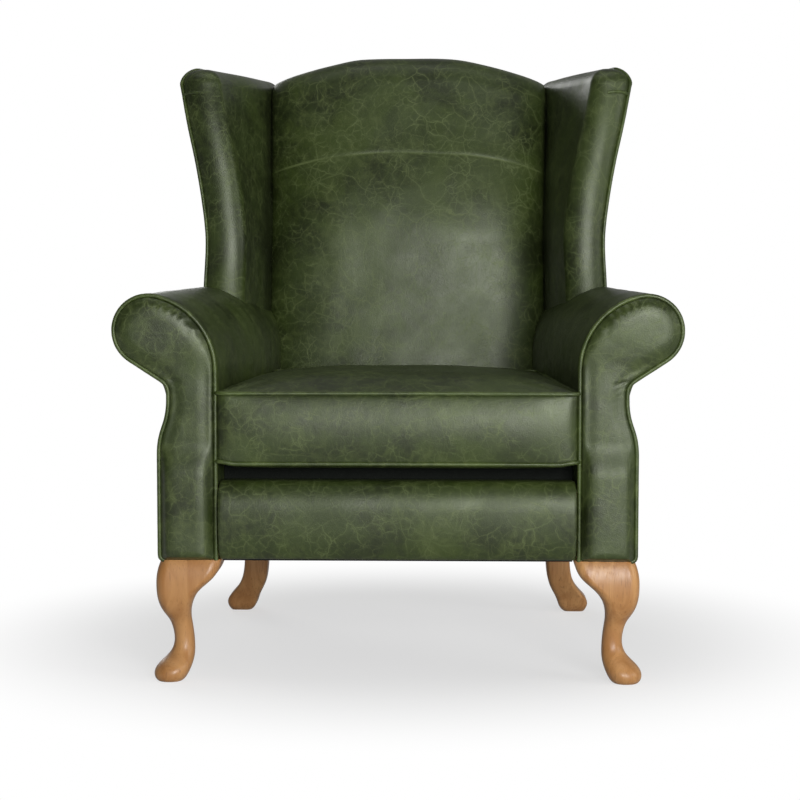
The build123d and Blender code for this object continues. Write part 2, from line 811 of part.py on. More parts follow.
def dust_cover():
    """Cloth under the seat frame, cut away round the leg tops."""
    front, back = dust_cover_margin, base_depth - dust_cover_margin
    half = [base_half - slope * y - dust_cover_margin for y in (front, back)]
    points = [(-half[0], front), (half[0], front), (half[1], back), (-half[1], back)]
    sheet = prism(points, leg_height - dust_cover_thick, leg_height)
    for is_front, side in ((True, knee_stations[0][2] - knee_stations[0][1]), (False, rear_leg_side)):
        x, y = leg_centre(is_front)
        notch = Pos(x, y, leg_height) * Box(side + 4, side + 4, far / 100)
        far_corner = Pos(x + far / 4, y, leg_height) * Box(far / 2, side + 4, far / 100)
        for cut in (*both_sides(notch), *both_sides(far_corner)):
            sheet -= cut
    return one_solid(sheet)


def write():
    """Moves the pieces so that the origin lies under the middle and writes one file for each."""
    boxes = [n.bounding_box() for n in nodes.values()]
    shift = -(min(b.min.Y for b in boxes) + max(b.max.Y for b in boxes)) / 2
    os.makedirs("parts", exist_ok=True)
    for name, shape in nodes.items():
        export_step(Pos(0, shift, 0) * shape, f"parts/{name}.step")
    print("pieces", len(nodes), "moved along Y by", round(shift, 3))


build()
write()
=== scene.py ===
import json
import math

import bmesh
import bpy
import numpy as np
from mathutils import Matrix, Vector, noise


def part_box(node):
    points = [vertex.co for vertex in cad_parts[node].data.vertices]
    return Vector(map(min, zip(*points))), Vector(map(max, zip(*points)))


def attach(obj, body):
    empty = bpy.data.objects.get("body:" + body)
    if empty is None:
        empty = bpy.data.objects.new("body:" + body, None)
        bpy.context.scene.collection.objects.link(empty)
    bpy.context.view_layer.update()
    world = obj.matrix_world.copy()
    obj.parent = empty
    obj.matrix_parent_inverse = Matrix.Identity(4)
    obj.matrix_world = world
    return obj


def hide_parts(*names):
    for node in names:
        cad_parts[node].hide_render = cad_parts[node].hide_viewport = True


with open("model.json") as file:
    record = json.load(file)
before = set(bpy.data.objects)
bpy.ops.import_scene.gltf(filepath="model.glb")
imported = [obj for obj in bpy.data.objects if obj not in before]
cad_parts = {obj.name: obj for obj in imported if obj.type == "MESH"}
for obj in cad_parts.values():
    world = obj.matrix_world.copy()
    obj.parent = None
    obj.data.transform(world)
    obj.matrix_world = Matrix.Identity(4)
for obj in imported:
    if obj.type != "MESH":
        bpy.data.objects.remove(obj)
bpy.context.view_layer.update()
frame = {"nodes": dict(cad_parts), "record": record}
nodes = frame["nodes"]
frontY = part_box("right_arm_facing")[0][1] * 1000  # front of the arms, mm
print("frame loaded,", len(nodes), "nodes")

# sizes shared by the pieces, mm, with Y counted from the front of the arms
chair = {
    "legHeight": 189.0,
    "baseHalf": 369.0,
    "baseDepth": 640.0,
    "seatHalf": 275.0,
    "slope": 53.0 / 640.0,
    "rake": math.radians(11),
    "backHalf": 308.0,
    "postFront": 47.0,
    "hem": 0.6,  # covers end this far below the rails
}
plainWearShade = 0.475  # 0 dark with painted shade in grooves, creases and seams, 1 rubbed pale


def sideName(side):
    return "right" if side > 0 else "left"


def backY(height, forward=0.0):
    c = chair
    back = c["baseDepth"] + (height - c["legHeight"]) * math.tan(c["rake"])
    return back - forward / math.cos(c["rake"])


def onBack(x, up, out):  # point on the raked back: across, up the rake, out towards the sitter
    c = chair
    s, k = math.sin(c["rake"]), math.cos(c["rake"])
    return np.array([x, c["baseDepth"] + up * s - out * k, c["legHeight"] + up * k + out * s])


def upBack(height):
    return (height - chair["legHeight"]) / math.cos(chair["rake"])


def smooth(t):
    t = np.clip(t, 0.0, 1.0)
    return t * t * (3 - 2 * t)


def bump(t, middle, width):  # soft bell, 1 in the middle
    return np.exp(-(((t - middle) / width) ** 2))


def wobble(p, scale, seed=0.0):  # smooth noise, about -1 to 1
    return noise.noise(Vector((p[0] * scale + seed, p[1] * scale - seed, p[2] * scale + 2.3 * seed)))


def curveThrough(stations, at):  # smooth values through (position, value) stations
    xs = np.array([s[0] for s in stations], float)
    ys = np.array([s[1] for s in stations], float)
    m = np.gradient(ys, xs)
    at = np.clip(at, xs[0], xs[-1])
    i = np.clip(np.searchsorted(xs, at) - 1, 0, len(xs) - 2)
    h = xs[i + 1] - xs[i]
    t = (at - xs[i]) / h
    return (
        (2 * t**3 - 3 * t**2 + 1) * ys[i]
        + (t**3 - 2 * t**2 + t) * h * m[i]
        + (-2 * t**3 + 3 * t**2) * ys[i + 1]
        + (t**3 - t**2) * h * m[i + 1]
    )


def toWorld(p):
    return (p[0] / 1000, (p[1] + frontY) / 1000, p[2] / 1000)


def fromWorld(p):
    return (p[0] * 1000, p[1] * 1000 - frontY, p[2] * 1000)


def addObject(name, mesh):
    obj = bpy.data.objects.new(name, mesh)
    bpy.context.scene.collection.objects.link(obj)
    return obj


def meshFrom(name, points, faces, merge=0.02):
    bm = bmesh.new()
    verts = [bm.verts.new(toWorld(p)) for p in points]
    for f in faces:
        corners = [verts[i] for i in f]
        if len(set(corners)) > 2:
            bm.faces.new(corners)
    bmesh.ops.remove_doubles(bm, verts=bm.verts, dist=merge / 1000)
    bmesh.ops.recalc_face_normals(bm, faces=bm.faces)
    mesh = bpy.data.meshes.new(name)
    bm.to_mesh(mesh)
    bm.free()
    return addObject(name, mesh)


def ringsToMesh(name, rings, cap="fan", mirrored=False):
    rings = [np.array(r, float) for r in rings]
    if mirrored:
        rings = [r * np.array([-1, 1, 1]) for r in rings]
    count = len(rings[0])
    points = [p for r in rings for p in r]
    faces = []
    for a in range(len(rings) - 1):
        for i in range(count):
            j = (i + 1) % count
            faces.append((a * count + i, a * count + j, (a + 1) * count + j, (a + 1) * count + i))
    for ring, start in ((rings[0], 0), (rings[-1], (len(rings) - 1) * count)):
        if cap == "fan":
            points.append(ring.mean(axis=0))
            for i in range(count):
                faces.append((start + i, start + (i + 1) % count, len(points) - 1))
        else:  # a strip joins the two halves of the ring across
            for i in range(count // 2 - 1):
                j = count - 1 - i
                faces.append((start + i, start + i + 1, start + j - 1, start + j))
    return meshFrom(name, points, faces)


def setWearShade(obj, values, rest=plainWearShade):  # a value for each point, rest for those of the caps
    layer = obj.data.attributes.new("wearAndShade", "FLOAT", "POINT")
    for i, item in enumerate(layer.data):
        item.value = values[i] if i < len(values) else rest


def wearShadeByPlace(obj, rule):
    setWearShade(obj, [rule(fromWorld(v.co)) for v in obj.data.vertices])


def finishPiece(obj, material, body, slot, levels=1, replaced=()):
    for poly in obj.data.polygons:
        poly.use_smooth = True
    if "wearAndShade" not in obj.data.attributes and slot.endswith("leather"):
        setWearShade(obj, [])
    obj.data.materials.clear()
    obj.data.materials.append(material)
    if levels:
        mod = obj.modifiers.new("smooth", "SUBSURF")
        mod.levels = mod.render_levels = levels
    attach(obj, body)
    if replaced:
        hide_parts(*replaced)


def finishHide(obj, levels=1, replaced=(), body="chair"):
    finishPiece(obj, greenLeather, body, "green_leather", levels, replaced)


# materials

class Wiring:  # small helper to wire the nodes of a material or the world
    def __init__(self, owner):
        owner.use_nodes = True
        self.tree = owner.node_tree
        self.tree.nodes.clear()

    def link(self, a, b):
        self.tree.links.new(a, b)

    def add(self, kind, inputs=None, **settings):
        node = self.tree.nodes.new(kind)
        for key, value in settings.items():
            setattr(node, key, value)
        for key, value in (inputs or {}).items():
            if isinstance(value, bpy.types.NodeSocket):
                self.link(value, node.inputs[key])
            else:
                node.inputs[key].default_value = value
        return node

    def math(self, operation, a, b):
        return self.add("ShaderNodeMath", {0: a, 1: b}, operation=operation).outputs[0]


class Shader(Wiring):
    def __init__(self, name):
        self.material = bpy.data.materials.new(name)
        super().__init__(self.material)
        self.out = self.add("ShaderNodeOutputMaterial")
        self.main = self.add("ShaderNodeBsdfPrincipled")
        self.link(self.main.outputs[0], self.out.inputs[0])
        self.place = self.add("ShaderNodeTexCoord").outputs["Object"]

    def noise(self, scale, detail=4.0, rough=0.55, distort=0.0, where=None):
        values = {"Vector": where or self.place, "Scale": scale, "Detail": detail}
        values.update({"Roughness": rough, "Distortion": distort})
        return self.add("ShaderNodeTexNoise", values).outputs["Fac"]

    def ramp(self, value, low, high, a=0.0, b=1.0):
        values = {"Value": value, "From Min": low, "From Max": high, "To Min": a, "To Max": b}
        return self.add("ShaderNodeMapRange", values, interpolation_type="SMOOTHSTEP").outputs["Result"]

    def mix(self, factor, a, b):
        a, b = ((*v, 1) if isinstance(v, tuple) else v for v in (a, b))
        return self.add("ShaderNodeMix", {0: factor, 6: a, 7: b}, data_type="RGBA").outputs[2]

    def vector(self, operation, inputs):
        return self.add("ShaderNodeVectorMath", inputs, operation=operation).outputs

    def cells(self, scale, where, feature="DISTANCE_TO_EDGE"):
        values = {"Vector": where, "Scale": scale}
        return self.add("ShaderNodeTexVoronoi", values, feature=feature).outputs["Distance"]

    def warped(self, scale, amount):
        swirl = self.add("ShaderNodeTexNoise", {"Vector": self.place, "Scale": scale, "Detail": 3.0})
        shift = self.vector("SUBTRACT", {0: swirl.outputs["Color"], 1: (0.5, 0.5, 0.5)})[0]
        shift = self.vector("SCALE", {0: shift, "Scale": amount})[0]
        return self.vector("ADD", {0: self.place, 1: shift})[0]

    def bumps(self, *layers):  # (height, strength, depth in metres), one on top of another
        normal = None
        for height, strength, depth in layers:
            values = {"Height": height, "Strength": strength, "Distance": depth}
            if normal:
                values["Normal"] = normal
            normal = self.add("ShaderNodeBump", values).outputs[0]
        self.link(normal, self.main.inputs["Normal"])


leatherLook = {
    "deep": (0.0120, 0.0175, 0.0042),
    "body": (0.0215, 0.0335, 0.0060),
    "green": (0.0365, 0.0555, 0.0090),
    "pale": (0.0600, 0.0800, 0.0220),
    "vein": (0.1250, 0.1580, 0.0560),
    "roughness": 0.41,
    "grainScale": 620.0,
    "veinScales": (  # scale, swirl, width, share
        (12.0, 0.045, 0.010, 0.6),
        (27.0, 0.026, 0.020, 0.85),
        (55.0, 0.015, 0.036, 0.7),
    ),
    "specular": 0.55,
    "specularTint": (0.93, 1.0, 0.80, 1.0),
}


def leatherMaterial(name, lift=1.0, veins=1.0, grain=1.0):
    look = leatherLook
    s = Shader(name)
    tone = lambda key: tuple(min(1.0, v * lift) for v in look[key])
    clouds = s.noise(12.0, 8.0, 0.66, 0.5)
    colour = s.mix(s.ramp(clouds, 0.36, 0.58), tone("deep"), tone("body"))
    patches = s.ramp(s.noise(6.0, 8.0, 0.66, 0.6), 0.46, 0.66, 0.0, 0.85)
    colour = s.mix(patches, colour, tone("green"))
    mottle = s.ramp(s.noise(34.0, 7.0, 0.7, 0.6), 0.44, 0.70, 0.0, 0.75)
    mottle = s.math("MULTIPLY", mottle, s.ramp(s.noise(4.0, 3.0), 0.34, 0.62))
    colour = s.mix(mottle, colour, tone("pale"))
    upright = s.add("ShaderNodeMapping", {"Vector": s.place, "Scale": (1.0, 1.0, 0.045)}).outputs[0]
    brushed = s.ramp(s.noise(330.0, 4.0, 0.6, 0.15, upright), 0.54, 0.74, 0.0, 0.55)
    brushed = s.math("MULTIPLY", brushed, s.ramp(s.noise(9.0, 3.0), 0.42, 0.66))
    colour = s.mix(brushed, colour, tone("pale"))
    lines = None
    for scale, swirl, width, share in look["veinScales"]:  # a broken web of creases with soft edges
        edge = s.cells(scale, s.warped(scale * 1.1, swirl))
        core, halo = s.ramp(edge, 0.0, width, 0.7, 0.0), s.ramp(edge, 0.0, width * 4.5, 0.3, 0.0)
        broken = s.ramp(s.noise(scale * 0.55, 5.0, 0.65), 0.38, 0.66, 0.0, share)
        line = s.math("MULTIPLY", s.math("ADD", core, halo), broken)
        lines = s.math("MAXIMUM", lines, line) if lines else line
    colour = s.mix(s.math("MULTIPLY", lines, 0.7 * veins), colour, tone("vein"))
    # the per-point attribute read here carries real wear and painted light: above its plain level the
    # hide goes pale, rubbed along the back's crease and at random on the piping, with a touch of painted
    # highlight on the facing pucker crests; below it the hide goes dark, painted shade in grooves,
    # creases and seams, with some random darker tone on the piping
    wearAndShade = s.add("ShaderNodeAttribute", attribute_name="wearAndShade").outputs["Fac"]
    colour = s.mix(s.ramp(wearAndShade, 0.5, 1.0, 0.0, 0.8), colour, tone("vein"))
    soiledAndShaded = tuple(v * 0.35 for v in tone("deep"))
    colour = s.mix(s.ramp(wearAndShade, 0.0, 0.45, 0.85, 0.0), colour, soiledAndShaded)
    s.link(colour, s.main.inputs["Base Color"])
    rough = s.ramp(clouds, 0.3, 0.7, look["roughness"] - 0.04, look["roughness"] + 0.06)
    rough = s.math("ADD", rough, s.math("MULTIPLY", lines, 0.1))
    s.link(rough, s.main.inputs["Roughness"])
    pores = s.cells(look["grainScale"], s.place, "F1")
    hide = s.noise(26.0, 5.0, 0.55, 0.4)
    web = (lines, 0.10 * veins, -0.0006)
    s.bumps((hide, 0.13 * grain, 0.004), web, (pores, 0.2 * grain, 0.0005))
    s.main.inputs["Specular IOR Level"].default_value = look["specular"]
    s.main.inputs["Specular Tint"].default_value = look["specularTint"]
    return s.material


legLook = {
    "light": (0.56, 0.295, 0.112),
    "dark": (0.40, 0.182, 0.058),
    "pore": (0.21, 0.088, 0.029),
    "roughness": 0.34,
}
timberLook = {
    "light": (0.66, 0.48, 0.28),
    "dark": (0.50, 0.33, 0.17),
    "pore": (0.36, 0.22, 0.1),
    "roughness": 0.65,
}
plyLook = {
    "light": (0.70, 0.54, 0.34),
    "dark": (0.58, 0.42, 0.24),
    "pore": (0.42, 0.28, 0.14),
    "roughness": 0.6,
}


def woodMaterial(name, light, dark, pore, roughness):
    s = Shader(name)
    stretch = s.add("ShaderNodeMapping", {"Vector": s.place, "Scale": (1.0, 1.0, 0.09)}).outputs[0]
    bands = s.noise(38.0, 4.0, 0.6, 1.2, stretch)
    fibres = s.noise(420.0, 3.0, 0.5, 0.2, stretch)
    colour = s.mix(s.ramp(bands, 0.32, 0.68), light, dark)
    colour = s.mix(s.ramp(fibres, 0.56, 0.74, 0.0, 0.55), colour, pore)
    colour = s.mix(s.ramp(s.noise(9.0, 2.0), 0.35, 0.7, 0.0, 0.3), colour, dark)
    s.link(colour, s.main.inputs["Base Color"])
    s.link(s.ramp(fibres, 0.4, 0.7, roughness, roughness + 0.12), s.main.inputs["Roughness"])
    s.bumps((fibres, 0.12, 0.0006))
    return s.material


def clothMaterial(name, colour, scale=900.0, roughness=0.9):
    s = Shader(name)
    values = {"Vector": s.place, "Scale": scale, "Distortion": 1.5, "Detail": 1.0}
    weave = s.add("ShaderNodeTexWave", values).outputs["Fac"]
    dark, light = (tuple(min(1, v * k) for v in colour) for k in (0.7, 1.25))
    s.link(s.mix(s.noise(60.0, 4.0), dark, light), s.main.inputs["Base Color"])
    s.main.inputs["Roughness"].default_value = roughness
    s.main.inputs["Specular IOR Level"].default_value = 0.15
    s.bumps((weave, 0.25, 0.0008))
    return s.material


def metalMaterial(name, colour, roughness=0.35):
    s = Shader(name)
    tint = s.mix(s.ramp(s.noise(90.0, 4.0), 0.35, 0.7), colour, tuple(v * 0.7 for v in colour))
    s.link(tint, s.main.inputs["Base Color"])
    s.main.inputs["Metallic"].default_value = 1.0
    rough = s.ramp(s.noise(240.0, 3.0), 0.3, 0.7, roughness - 0.08, roughness + 0.1)
    s.link(rough, s.main.inputs["Roughness"])
    s.bumps((s.noise(600.0, 2.0), 0.08, 0.0004))
    return s.material


greenLeather = leatherMaterial("greenLeather")
# the piping's hide lifted 1.55 times paler: painted highlight for the light along the round welts
weltLeather = leatherMaterial("weltLeather", lift=1.55, veins=0.7, grain=0.8)
slotMaterials = {
    "leg_oak": woodMaterial("legWood", **legLook),
    "frame_timber": woodMaterial("frameTimber", **timberLook),
    "plywood": woodMaterial("plyBoard", **plyLook),
    "zinc_hardware": metalMaterial("zincPlate", (0.62, 0.63, 0.64)),
    "spring_steel": metalMaterial("springSteel", (0.28, 0.29, 0.30), 0.42),
    "webbing": clothMaterial("juteWebbing", (0.10, 0.085, 0.07), 500.0),
    "dust_cloth": clothMaterial("dustCloth", (0.012, 0.012, 0.013), 1200.0),
    # nearly black deck cloth: painted shade for the dark gap under the cushion
    "deck_felt": clothMaterial("deckFeltShade", (0.006, 0.0075, 0.006), 1400.0),
    "foam": clothMaterial("paddingFoam", (0.74, 0.69, 0.52), 700.0),
    "zip_tape": clothMaterial("zipTape", (0.010, 0.016, 0.011), 1500.0),
    "zip_metal": metalMaterial("zipMetal", (0.50, 0.38, 0.16), 0.32),
    "piping_leather": weltLeather,
    "green_leather": greenLeather,
}
for part in frame["record"]["subparts"]:  # every node gets its finish, hidden ones too
    node = nodes[part["node"]]
    node.data.materials.clear()
    node.data.materials.append(slotMaterials[part["material_slot"]])
print("materials ready")


# arms: the same section as the timber and padding below, run back along the sloping sides

arm = {
    "scrollX": 380.0,
    "scrollZ": 541.0,
    "scrollRadius": 57.0,
    "innerRise": 480.0,
    "neckSlant": math.radians(33),
    "neckRadius": 18.0,
    "waistHalf": 354.0,
    "waistHeight": 434.0,
    "haunchHeight": 352.0,
    "deckHeight": 300.0,
    "foldDepth": 2.6,
    "footRound": 7.0,
    "counts": (18, 16, 26, 5, 6, 5, 12, 12, 6),  # points on each stretch of the section
    "front": 10.5,  # the pad and outside panel start this far behind the facing's front
    "padEnd": (362.0, 460.0),  # where the pad turns in under the scroll
    "outsideStart": (361.0, 458.0),
    "outsideThick": 5.0,
    "outsideBend": 600.0,  # the outside panel fans out to the raked back from here
    "backJoin": 680.0,  # rings behind this lie on the raked back
}
facing = {
    "edge": 6.4,
    "rings": (6.4, 6.4, 7.2, 9.2, 12.2, 16.0, 20.5, 25.0, 29.0, 32.5),
    "stand": (13.5, 7.0, 5.0, 3.4, 2.1, 1.0, 0.2, -0.5, -0.9, -1.1),
    "shoulder": 353.0,  # the lower half swells forward from here down
    "swell": 9.0,
    "dome": 3.0,
    "pucker": 1.3,
    "recess": 2.4,  # the upper half stands back by this
    "points": 320,
    "creases": (  # height, outer end, length, depth
        (464.0, 357.0, 34.0, 2.2),
        (456.0, 357.0, 26.0, 1.7),
        (446.0, 352.0, 20.0, 0.9),
    ),
}


def arcPoints(cx, cz, radius, start, end, count):
    angles = np.linspace(start, end, count)
    return [(cx + radius * math.cos(t), cz + radius * math.sin(t)) for t in angles]


def armSection(inset, foot=0.5):
    # inner foot, up and over the scroll, in at the neck and waist, down to the outer foot
    a, c = arm, chair
    inner, outer, waist = c["seatHalf"] + inset, c["baseHalf"] - inset, a["waistHalf"] - inset
    r, slant = a["scrollRadius"] - inset, a["neckSlant"]
    across, rise = a["scrollX"] - inner, a["scrollZ"] - a["innerRise"]
    roll = (across**2 + rise**2 - r**2) / (2 * (across - r))
    cx, cz = inner + roll, a["innerRise"]
    meet = math.atan2(a["scrollZ"] - cz, a["scrollX"] - cx)
    lx, lz = a["scrollX"] + r * math.sin(slant), a["scrollZ"] - r * math.cos(slant)
    cornerZ = lz - (lx - waist) * math.tan(slant)
    turn = a["neckRadius"] + inset
    back = turn * math.tan((math.pi / 2 - slant) / 2)
    nx, nz = waist + back * math.cos(slant), cornerZ + back * math.sin(slant)
    footZ = cornerZ - back
    low = c["legHeight"] - c["hem"] + max(0.0, inset - facing["edge"]) * 0.6
    dx, dz = outer - waist, a["waistHeight"] - a["haunchHeight"]
    sway = (dx * dx + dz * dz) / (4 * dx)
    half = math.atan2(dz / 2, sway - dx / 2)
    n = a["counts"]
    out = [(inner, z) for z in np.linspace(low, a["innerRise"], n[0], endpoint=False)]
    out += arcPoints(cx, cz, roll, math.pi, meet, n[1])[:-1]
    out += arcPoints(a["scrollX"], a["scrollZ"], r, meet, slant - math.pi / 2, n[2])[:-1]
    for t in np.linspace(0, 1, n[3], endpoint=False):
        out.append((lx + (nx - lx) * t, lz + (nz - lz) * t))
    out += arcPoints(waist + turn, footZ, turn, math.pi / 2 + slant, math.pi, n[4])[:-1]
    out += [(waist, z) for z in np.linspace(footZ, a["waistHeight"], n[5], endpoint=False)]
    bow = n[6] // 2 + 1
    out += arcPoints(waist + sway, a["waistHeight"], sway, math.pi, math.pi + half, bow)[:-1]
    out += arcPoints(outer - sway, a["haunchHeight"], sway, half, 0.0, bow)[:-1]
    out += [(outer, z) for z in np.linspace(a["haunchHeight"], low + foot, n[7], endpoint=False)]
    out += arcPoints(outer - foot, low + foot, foot, 0.0, -math.pi / 2, n[8])
    return np.array(out)


def nearest(section, spot):
    return int(np.argmin(np.abs(section - np.array(spot)).sum(axis=1)))


def resample(path, count):
    path = np.array(path, float)
    steps = np.concatenate([[0], np.cumsum(np.linalg.norm(np.diff(path, axis=0), axis=1))])
    at = np.linspace(0, steps[-1], count)
    return np.stack([np.interp(at, steps, path[:, k]) for k in range(path.shape[1])], axis=1)


def alongArm(x, y, z):
    return np.array([x - chair["slope"] * y, y, z])


def makeArm(side):
    a, name = arm, sideName(side)
    section = armSection(0.6)
    start = int(np.argmax(section[:, 1] > a["deckHeight"]))
    outside = resample(section[start : nearest(section, a["padEnd"]) + 1], 84)
    across = np.linspace(0.06, 0.94, 10)[:, None]
    inside = outside[-1] + (outside[0] - outside[-1]) * across
    inside[:, 0] += 14 * np.sin(np.linspace(0, math.pi, 10))
    rings = []
    seed = 3.1 if side > 0 else 8.4
    for y in (*(a["front"] + d for d in (0, 2, 5.5, 11.5)), *np.linspace(30, 690, 74)):
        ring = []
        nearFront = 1 - smooth((y - a["front"]) / 12)
        for i, (x, z) in enumerate(np.concatenate([outside, inside])):
            pull = 2.2 * nearFront * smooth((z - 330) / 120)
            dx, dz = x - a["scrollX"], z - a["scrollZ"]
            length = math.hypot(dx, dz) or 1
            x2, z2 = x - dx / length * pull, z - dz / length * pull
            if i < len(outside):  # folds on the inside, a soft top
                inner = smooth((430 - x) / 90) * smooth((z - 330) / 60) * (1 - smooth((z - 560) / 40))
                p = (x * 0.25, y, z * 0.35)
                swell = wobble(p, 0.017, seed) + 0.6 * wobble(p, 0.041, seed + 4)
                crease = -abs(wobble((x * 0.3, y, z * 0.25), 0.022, seed + 11)) ** 0.5
                deep = a["foldDepth"] * inner * smooth((y - 30) / 80)
                x2 += deep * (0.7 * swell + 0.5 * crease)
                soft = 1.2 * wobble((x, y, z), 0.012, seed + 2) * smooth((y - 20) / 60)
                z2 += soft * smooth((z - 540) / 40)
            limit = backY(z2, 3.0)
            ring.append(alongArm(x2, limit if y > a["backJoin"] else min(y, limit), z2))
        rings.append(ring)
    last = np.array(rings[-1])
    middle = last[: len(outside)].mean(axis=0)
    for k, out in ((0.94, 3.0), (0.8, 5.5), (0.5, 7.0)):
        ring = middle + (last - middle) * k
        ring[:, 1] = last[:, 1] + out - 3.0 - (1 - k) * 2
        rings.append(ring)
    obj = ringsToMesh(name + "ArmPad", rings, mirrored=side < 0)
    finishHide(obj, 1, (name + "_arm_cover", name + "_arm_padding"))


def makeFacing(side):
    f, name = facing, sideName(side)
    points, wearShades = [], []
    for inset, stand in zip(f["rings"], f["stand"]):
        inward = float(smooth((inset - 8) / 10))
        for x, z in resample(armSection(inset, arm["footRound"]), f["points"]):
            lower = f["recess"] - (f["swell"] + f["recess"]) * smooth((f["shoulder"] + 20 - z) / 56)
            fromScroll = math.hypot(x - arm["scrollX"], z - arm["scrollZ"])
            dome = -f["dome"] * max(0.0, 1 - (fromScroll / 62) ** 2) - 3.5 * smooth((z - 470) / 60)
            lean = math.atan2(z - arm["scrollZ"], x - arm["scrollX"])
            upInner = smooth((lean - 1.3) / 0.5) * smooth((z - 490) / 30)
            ripple = math.sin(lean * 26 + 3 * wobble((x, z, side), 0.03))
            ripple *= float(bump(inset, 11.0, 5.0))
            ripple *= f["pucker"] * (0.25 * smooth((z - 480) / 40) + upInner)
            dent = 0.0
            for high, outer, length, depth in f["creases"]:
                tilt = 0.12 * side * (outer - x)
                run = smooth((outer - x) / 6) * smooth((x - outer + length) / (length * 0.6))
                dent += depth * run * float(bump(z + tilt, high, 2.4))
            soft = 0.8 * wobble((x, z, 5.0 * side), 0.02)
            points.append(alongArm(x, stand + ripple + (lower + dome + dent + soft) * inward, z))
            # darker along the rim by the piping, in the creases and in the pucker hollows, lighter on
            # the pucker crests: painted shade and painted highlight
            rimShade = 0.25 * float(bump(inset, f["edge"], 1.2))
            wearShades.append(plainWearShade - 0.16 * dent * inward + 0.05 * ripple - rimShade)
    rings = np.array(points).reshape(len(f["rings"]), f["points"], 3)
    obj = ringsToMesh(name + "ArmFacing", rings, "strip", mirrored=side < 0)
    setWearShade(obj, wearShades)
    finishHide(obj, 1, (name + "_arm_facing",))


def makeOutsideArm(side):
    a, name = arm, sideName(side)
    section = armSection(0.4)
    face = resample(section[nearest(section, a["outsideStart"]) :], 46)
    bend, last = a["outsideBend"], 690
    rings = []
    for y in (*(a["front"] + d for d in (0, 2, 6.5)), *np.linspace(28, last, 40)):
        edge = 1.6 * (1 - smooth((y - a["front"]) / 6))
        outer, inner = [], []
        for x, z in face:
            limit = backY(z, 1.0)
            back = y if y < bend else bend + (limit - bend) * (y - bend) / (last - bend)
            soft = 1.4 * wobble((x, y, z), 0.009, side * 3.0)
            soft *= smooth((y - 20) / 60) * smooth((z - 200) / 40)
            p = alongArm(x - edge + soft, back, z)
            if back > limit - 56:
                p[0] = max(p[0], chair["backHalf"] + 0.6)
            outer.append(p)
            inner.append(alongArm(x - a["outsideThick"] - edge, back, z))
        rings.append(outer + inner[::-1])
    obj = ringsToMesh(name + "OutsideArm", rings, "strip", mirrored=side < 0)
    finishHide(obj, 0, (name + "_outside_arm",))


for side in (1, -1):
    makeArm(side)
    makeFacing(side)
    makeOutsideArm(side)
print("arms made")


# wings

wing = {
    "outer": ((505, 348), (590, 347), (690, 344), (745, 350), (810, 360.5), (880, 375), (945, 387)),
    "front": ((505, 444), (590, 442), (690, 444), (745, 448), (810, 453), (880, 461), (945, 473)),
    "radius": 35.0,
    "innerHalf": 239.0,
    "top": 974.0,
    "topRoll": 30.0,
    "foot": 486.0,
    "puff": 7.0,
    "flat": 0.40,
    "lean": 0.17,  # the front roll turns in by this
    "hook": 928.0,
    "gather": (604.0, 16.0),  # height and spread of the gathers above the arm
    # the line of painted shade along the groove where the wing meets the back
    "seam": 248.0,
    "outsideFoot": 585.0,
    "pipingFoot": 592.0,
}


def wingSection(z, drawn):
    w = wing
    outer, front = float(curveThrough(w["outer"], z)), float(curveThrough(w["front"], z))
    back = backY(z, 3.0)
    innerBack = np.array([w["innerHalf"] + drawn, back])
    outerBack = np.array([chair["backHalf"] - 0.5 - drawn, back])
    r = w["radius"] - drawn
    centre = np.array([outer - w["radius"], front + w["radius"]])
    ahead = centre - (innerBack + outerBack) / 2
    ahead = ahead / np.linalg.norm(ahead) - np.array([w["lean"], 0.0])
    ahead /= np.linalg.norm(ahead)
    aside = np.array([-ahead[1], ahead[0]])
    return innerBack, outerBack, centre, ahead, aside, r


def wingRows(foot, count, bends, most):  # heights up a wing, and how far its rolled top draws in
    w, roll = wing, wing["topRoll"]
    rows = [(z, 0.0) for z in np.linspace(foot, w["top"] - roll, count)]
    for k in range(1, bends + 1):
        turn = most * k / bends
        rows.append((w["top"] - roll * (1 - math.sin(turn)), roll * (1 - math.cos(turn))))
    return rows


def wingFront(centre, ahead, aside, r, turn):  # the front roll is broader than it is deep
    flat = wing["flat"]
    return centre + aside * r * math.cos(turn) + ahead * r * (flat + (1 - flat) * math.sin(turn))


def makeWing(side):
    w, name = wing, sideName(side)
    rings = []
    seed = 5.2 if side > 0 else 1.7
    for z, drawn in wingRows(w["foot"], 56, 9, math.pi / 2):
        innerBack, outerBack, centre, ahead, aside, r = wingSection(z, drawn)
        innerTip = centre + ahead * r * w["flat"] - aside * r
        ring = []
        for t in np.linspace(0, 1, 34, endpoint=False):
            p = innerBack + (innerTip - innerBack) * t
            puff = w["puff"] * math.sin(math.pi * t) ** 2 * smooth((r - 2) / 18)
            spot = (p[0], p[1], z)
            soft = 1.6 * wobble(spot, 0.011, seed) + 0.7 * wobble(spot, 0.03, seed + 3)
            gather = 1.8 * math.sin(t * 34 + seed) * float(bump(z, *w["gather"])) * math.sin(math.pi * t)
            p = p - aside * (puff + (soft + gather) * math.sin(math.pi * t))
            ring.append((p[0], p[1], z))
        for turn in np.linspace(0, math.pi, 20, endpoint=False):
            p = wingFront(centre, ahead, aside, r, math.pi - turn)
            soft = 0.8 * wobble((p[0], p[1], z), 0.016, seed + 6)
            p = p + ahead * soft
            ring.append((p[0], p[1], z))
        outerTip = centre + ahead * r * w["flat"] + aside * r
        for t in np.linspace(0, 1, 54):
            p = outerTip + (outerBack - outerTip) * t
            ring.append((p[0], p[1], z))
        rings.append(ring)
    obj = ringsToMesh(name + "WingPad", rings, "strip", mirrored=side < 0)
    # darker along the groove between the wing and the back: painted shade
    wearShadeByPlace(obj, lambda p: plainWearShade - 0.4 * float(bump(abs(p[0]), w["seam"], 11)))
    finishHide(obj, 1, (name + "_wing_cover", name + "_wing_padding"))


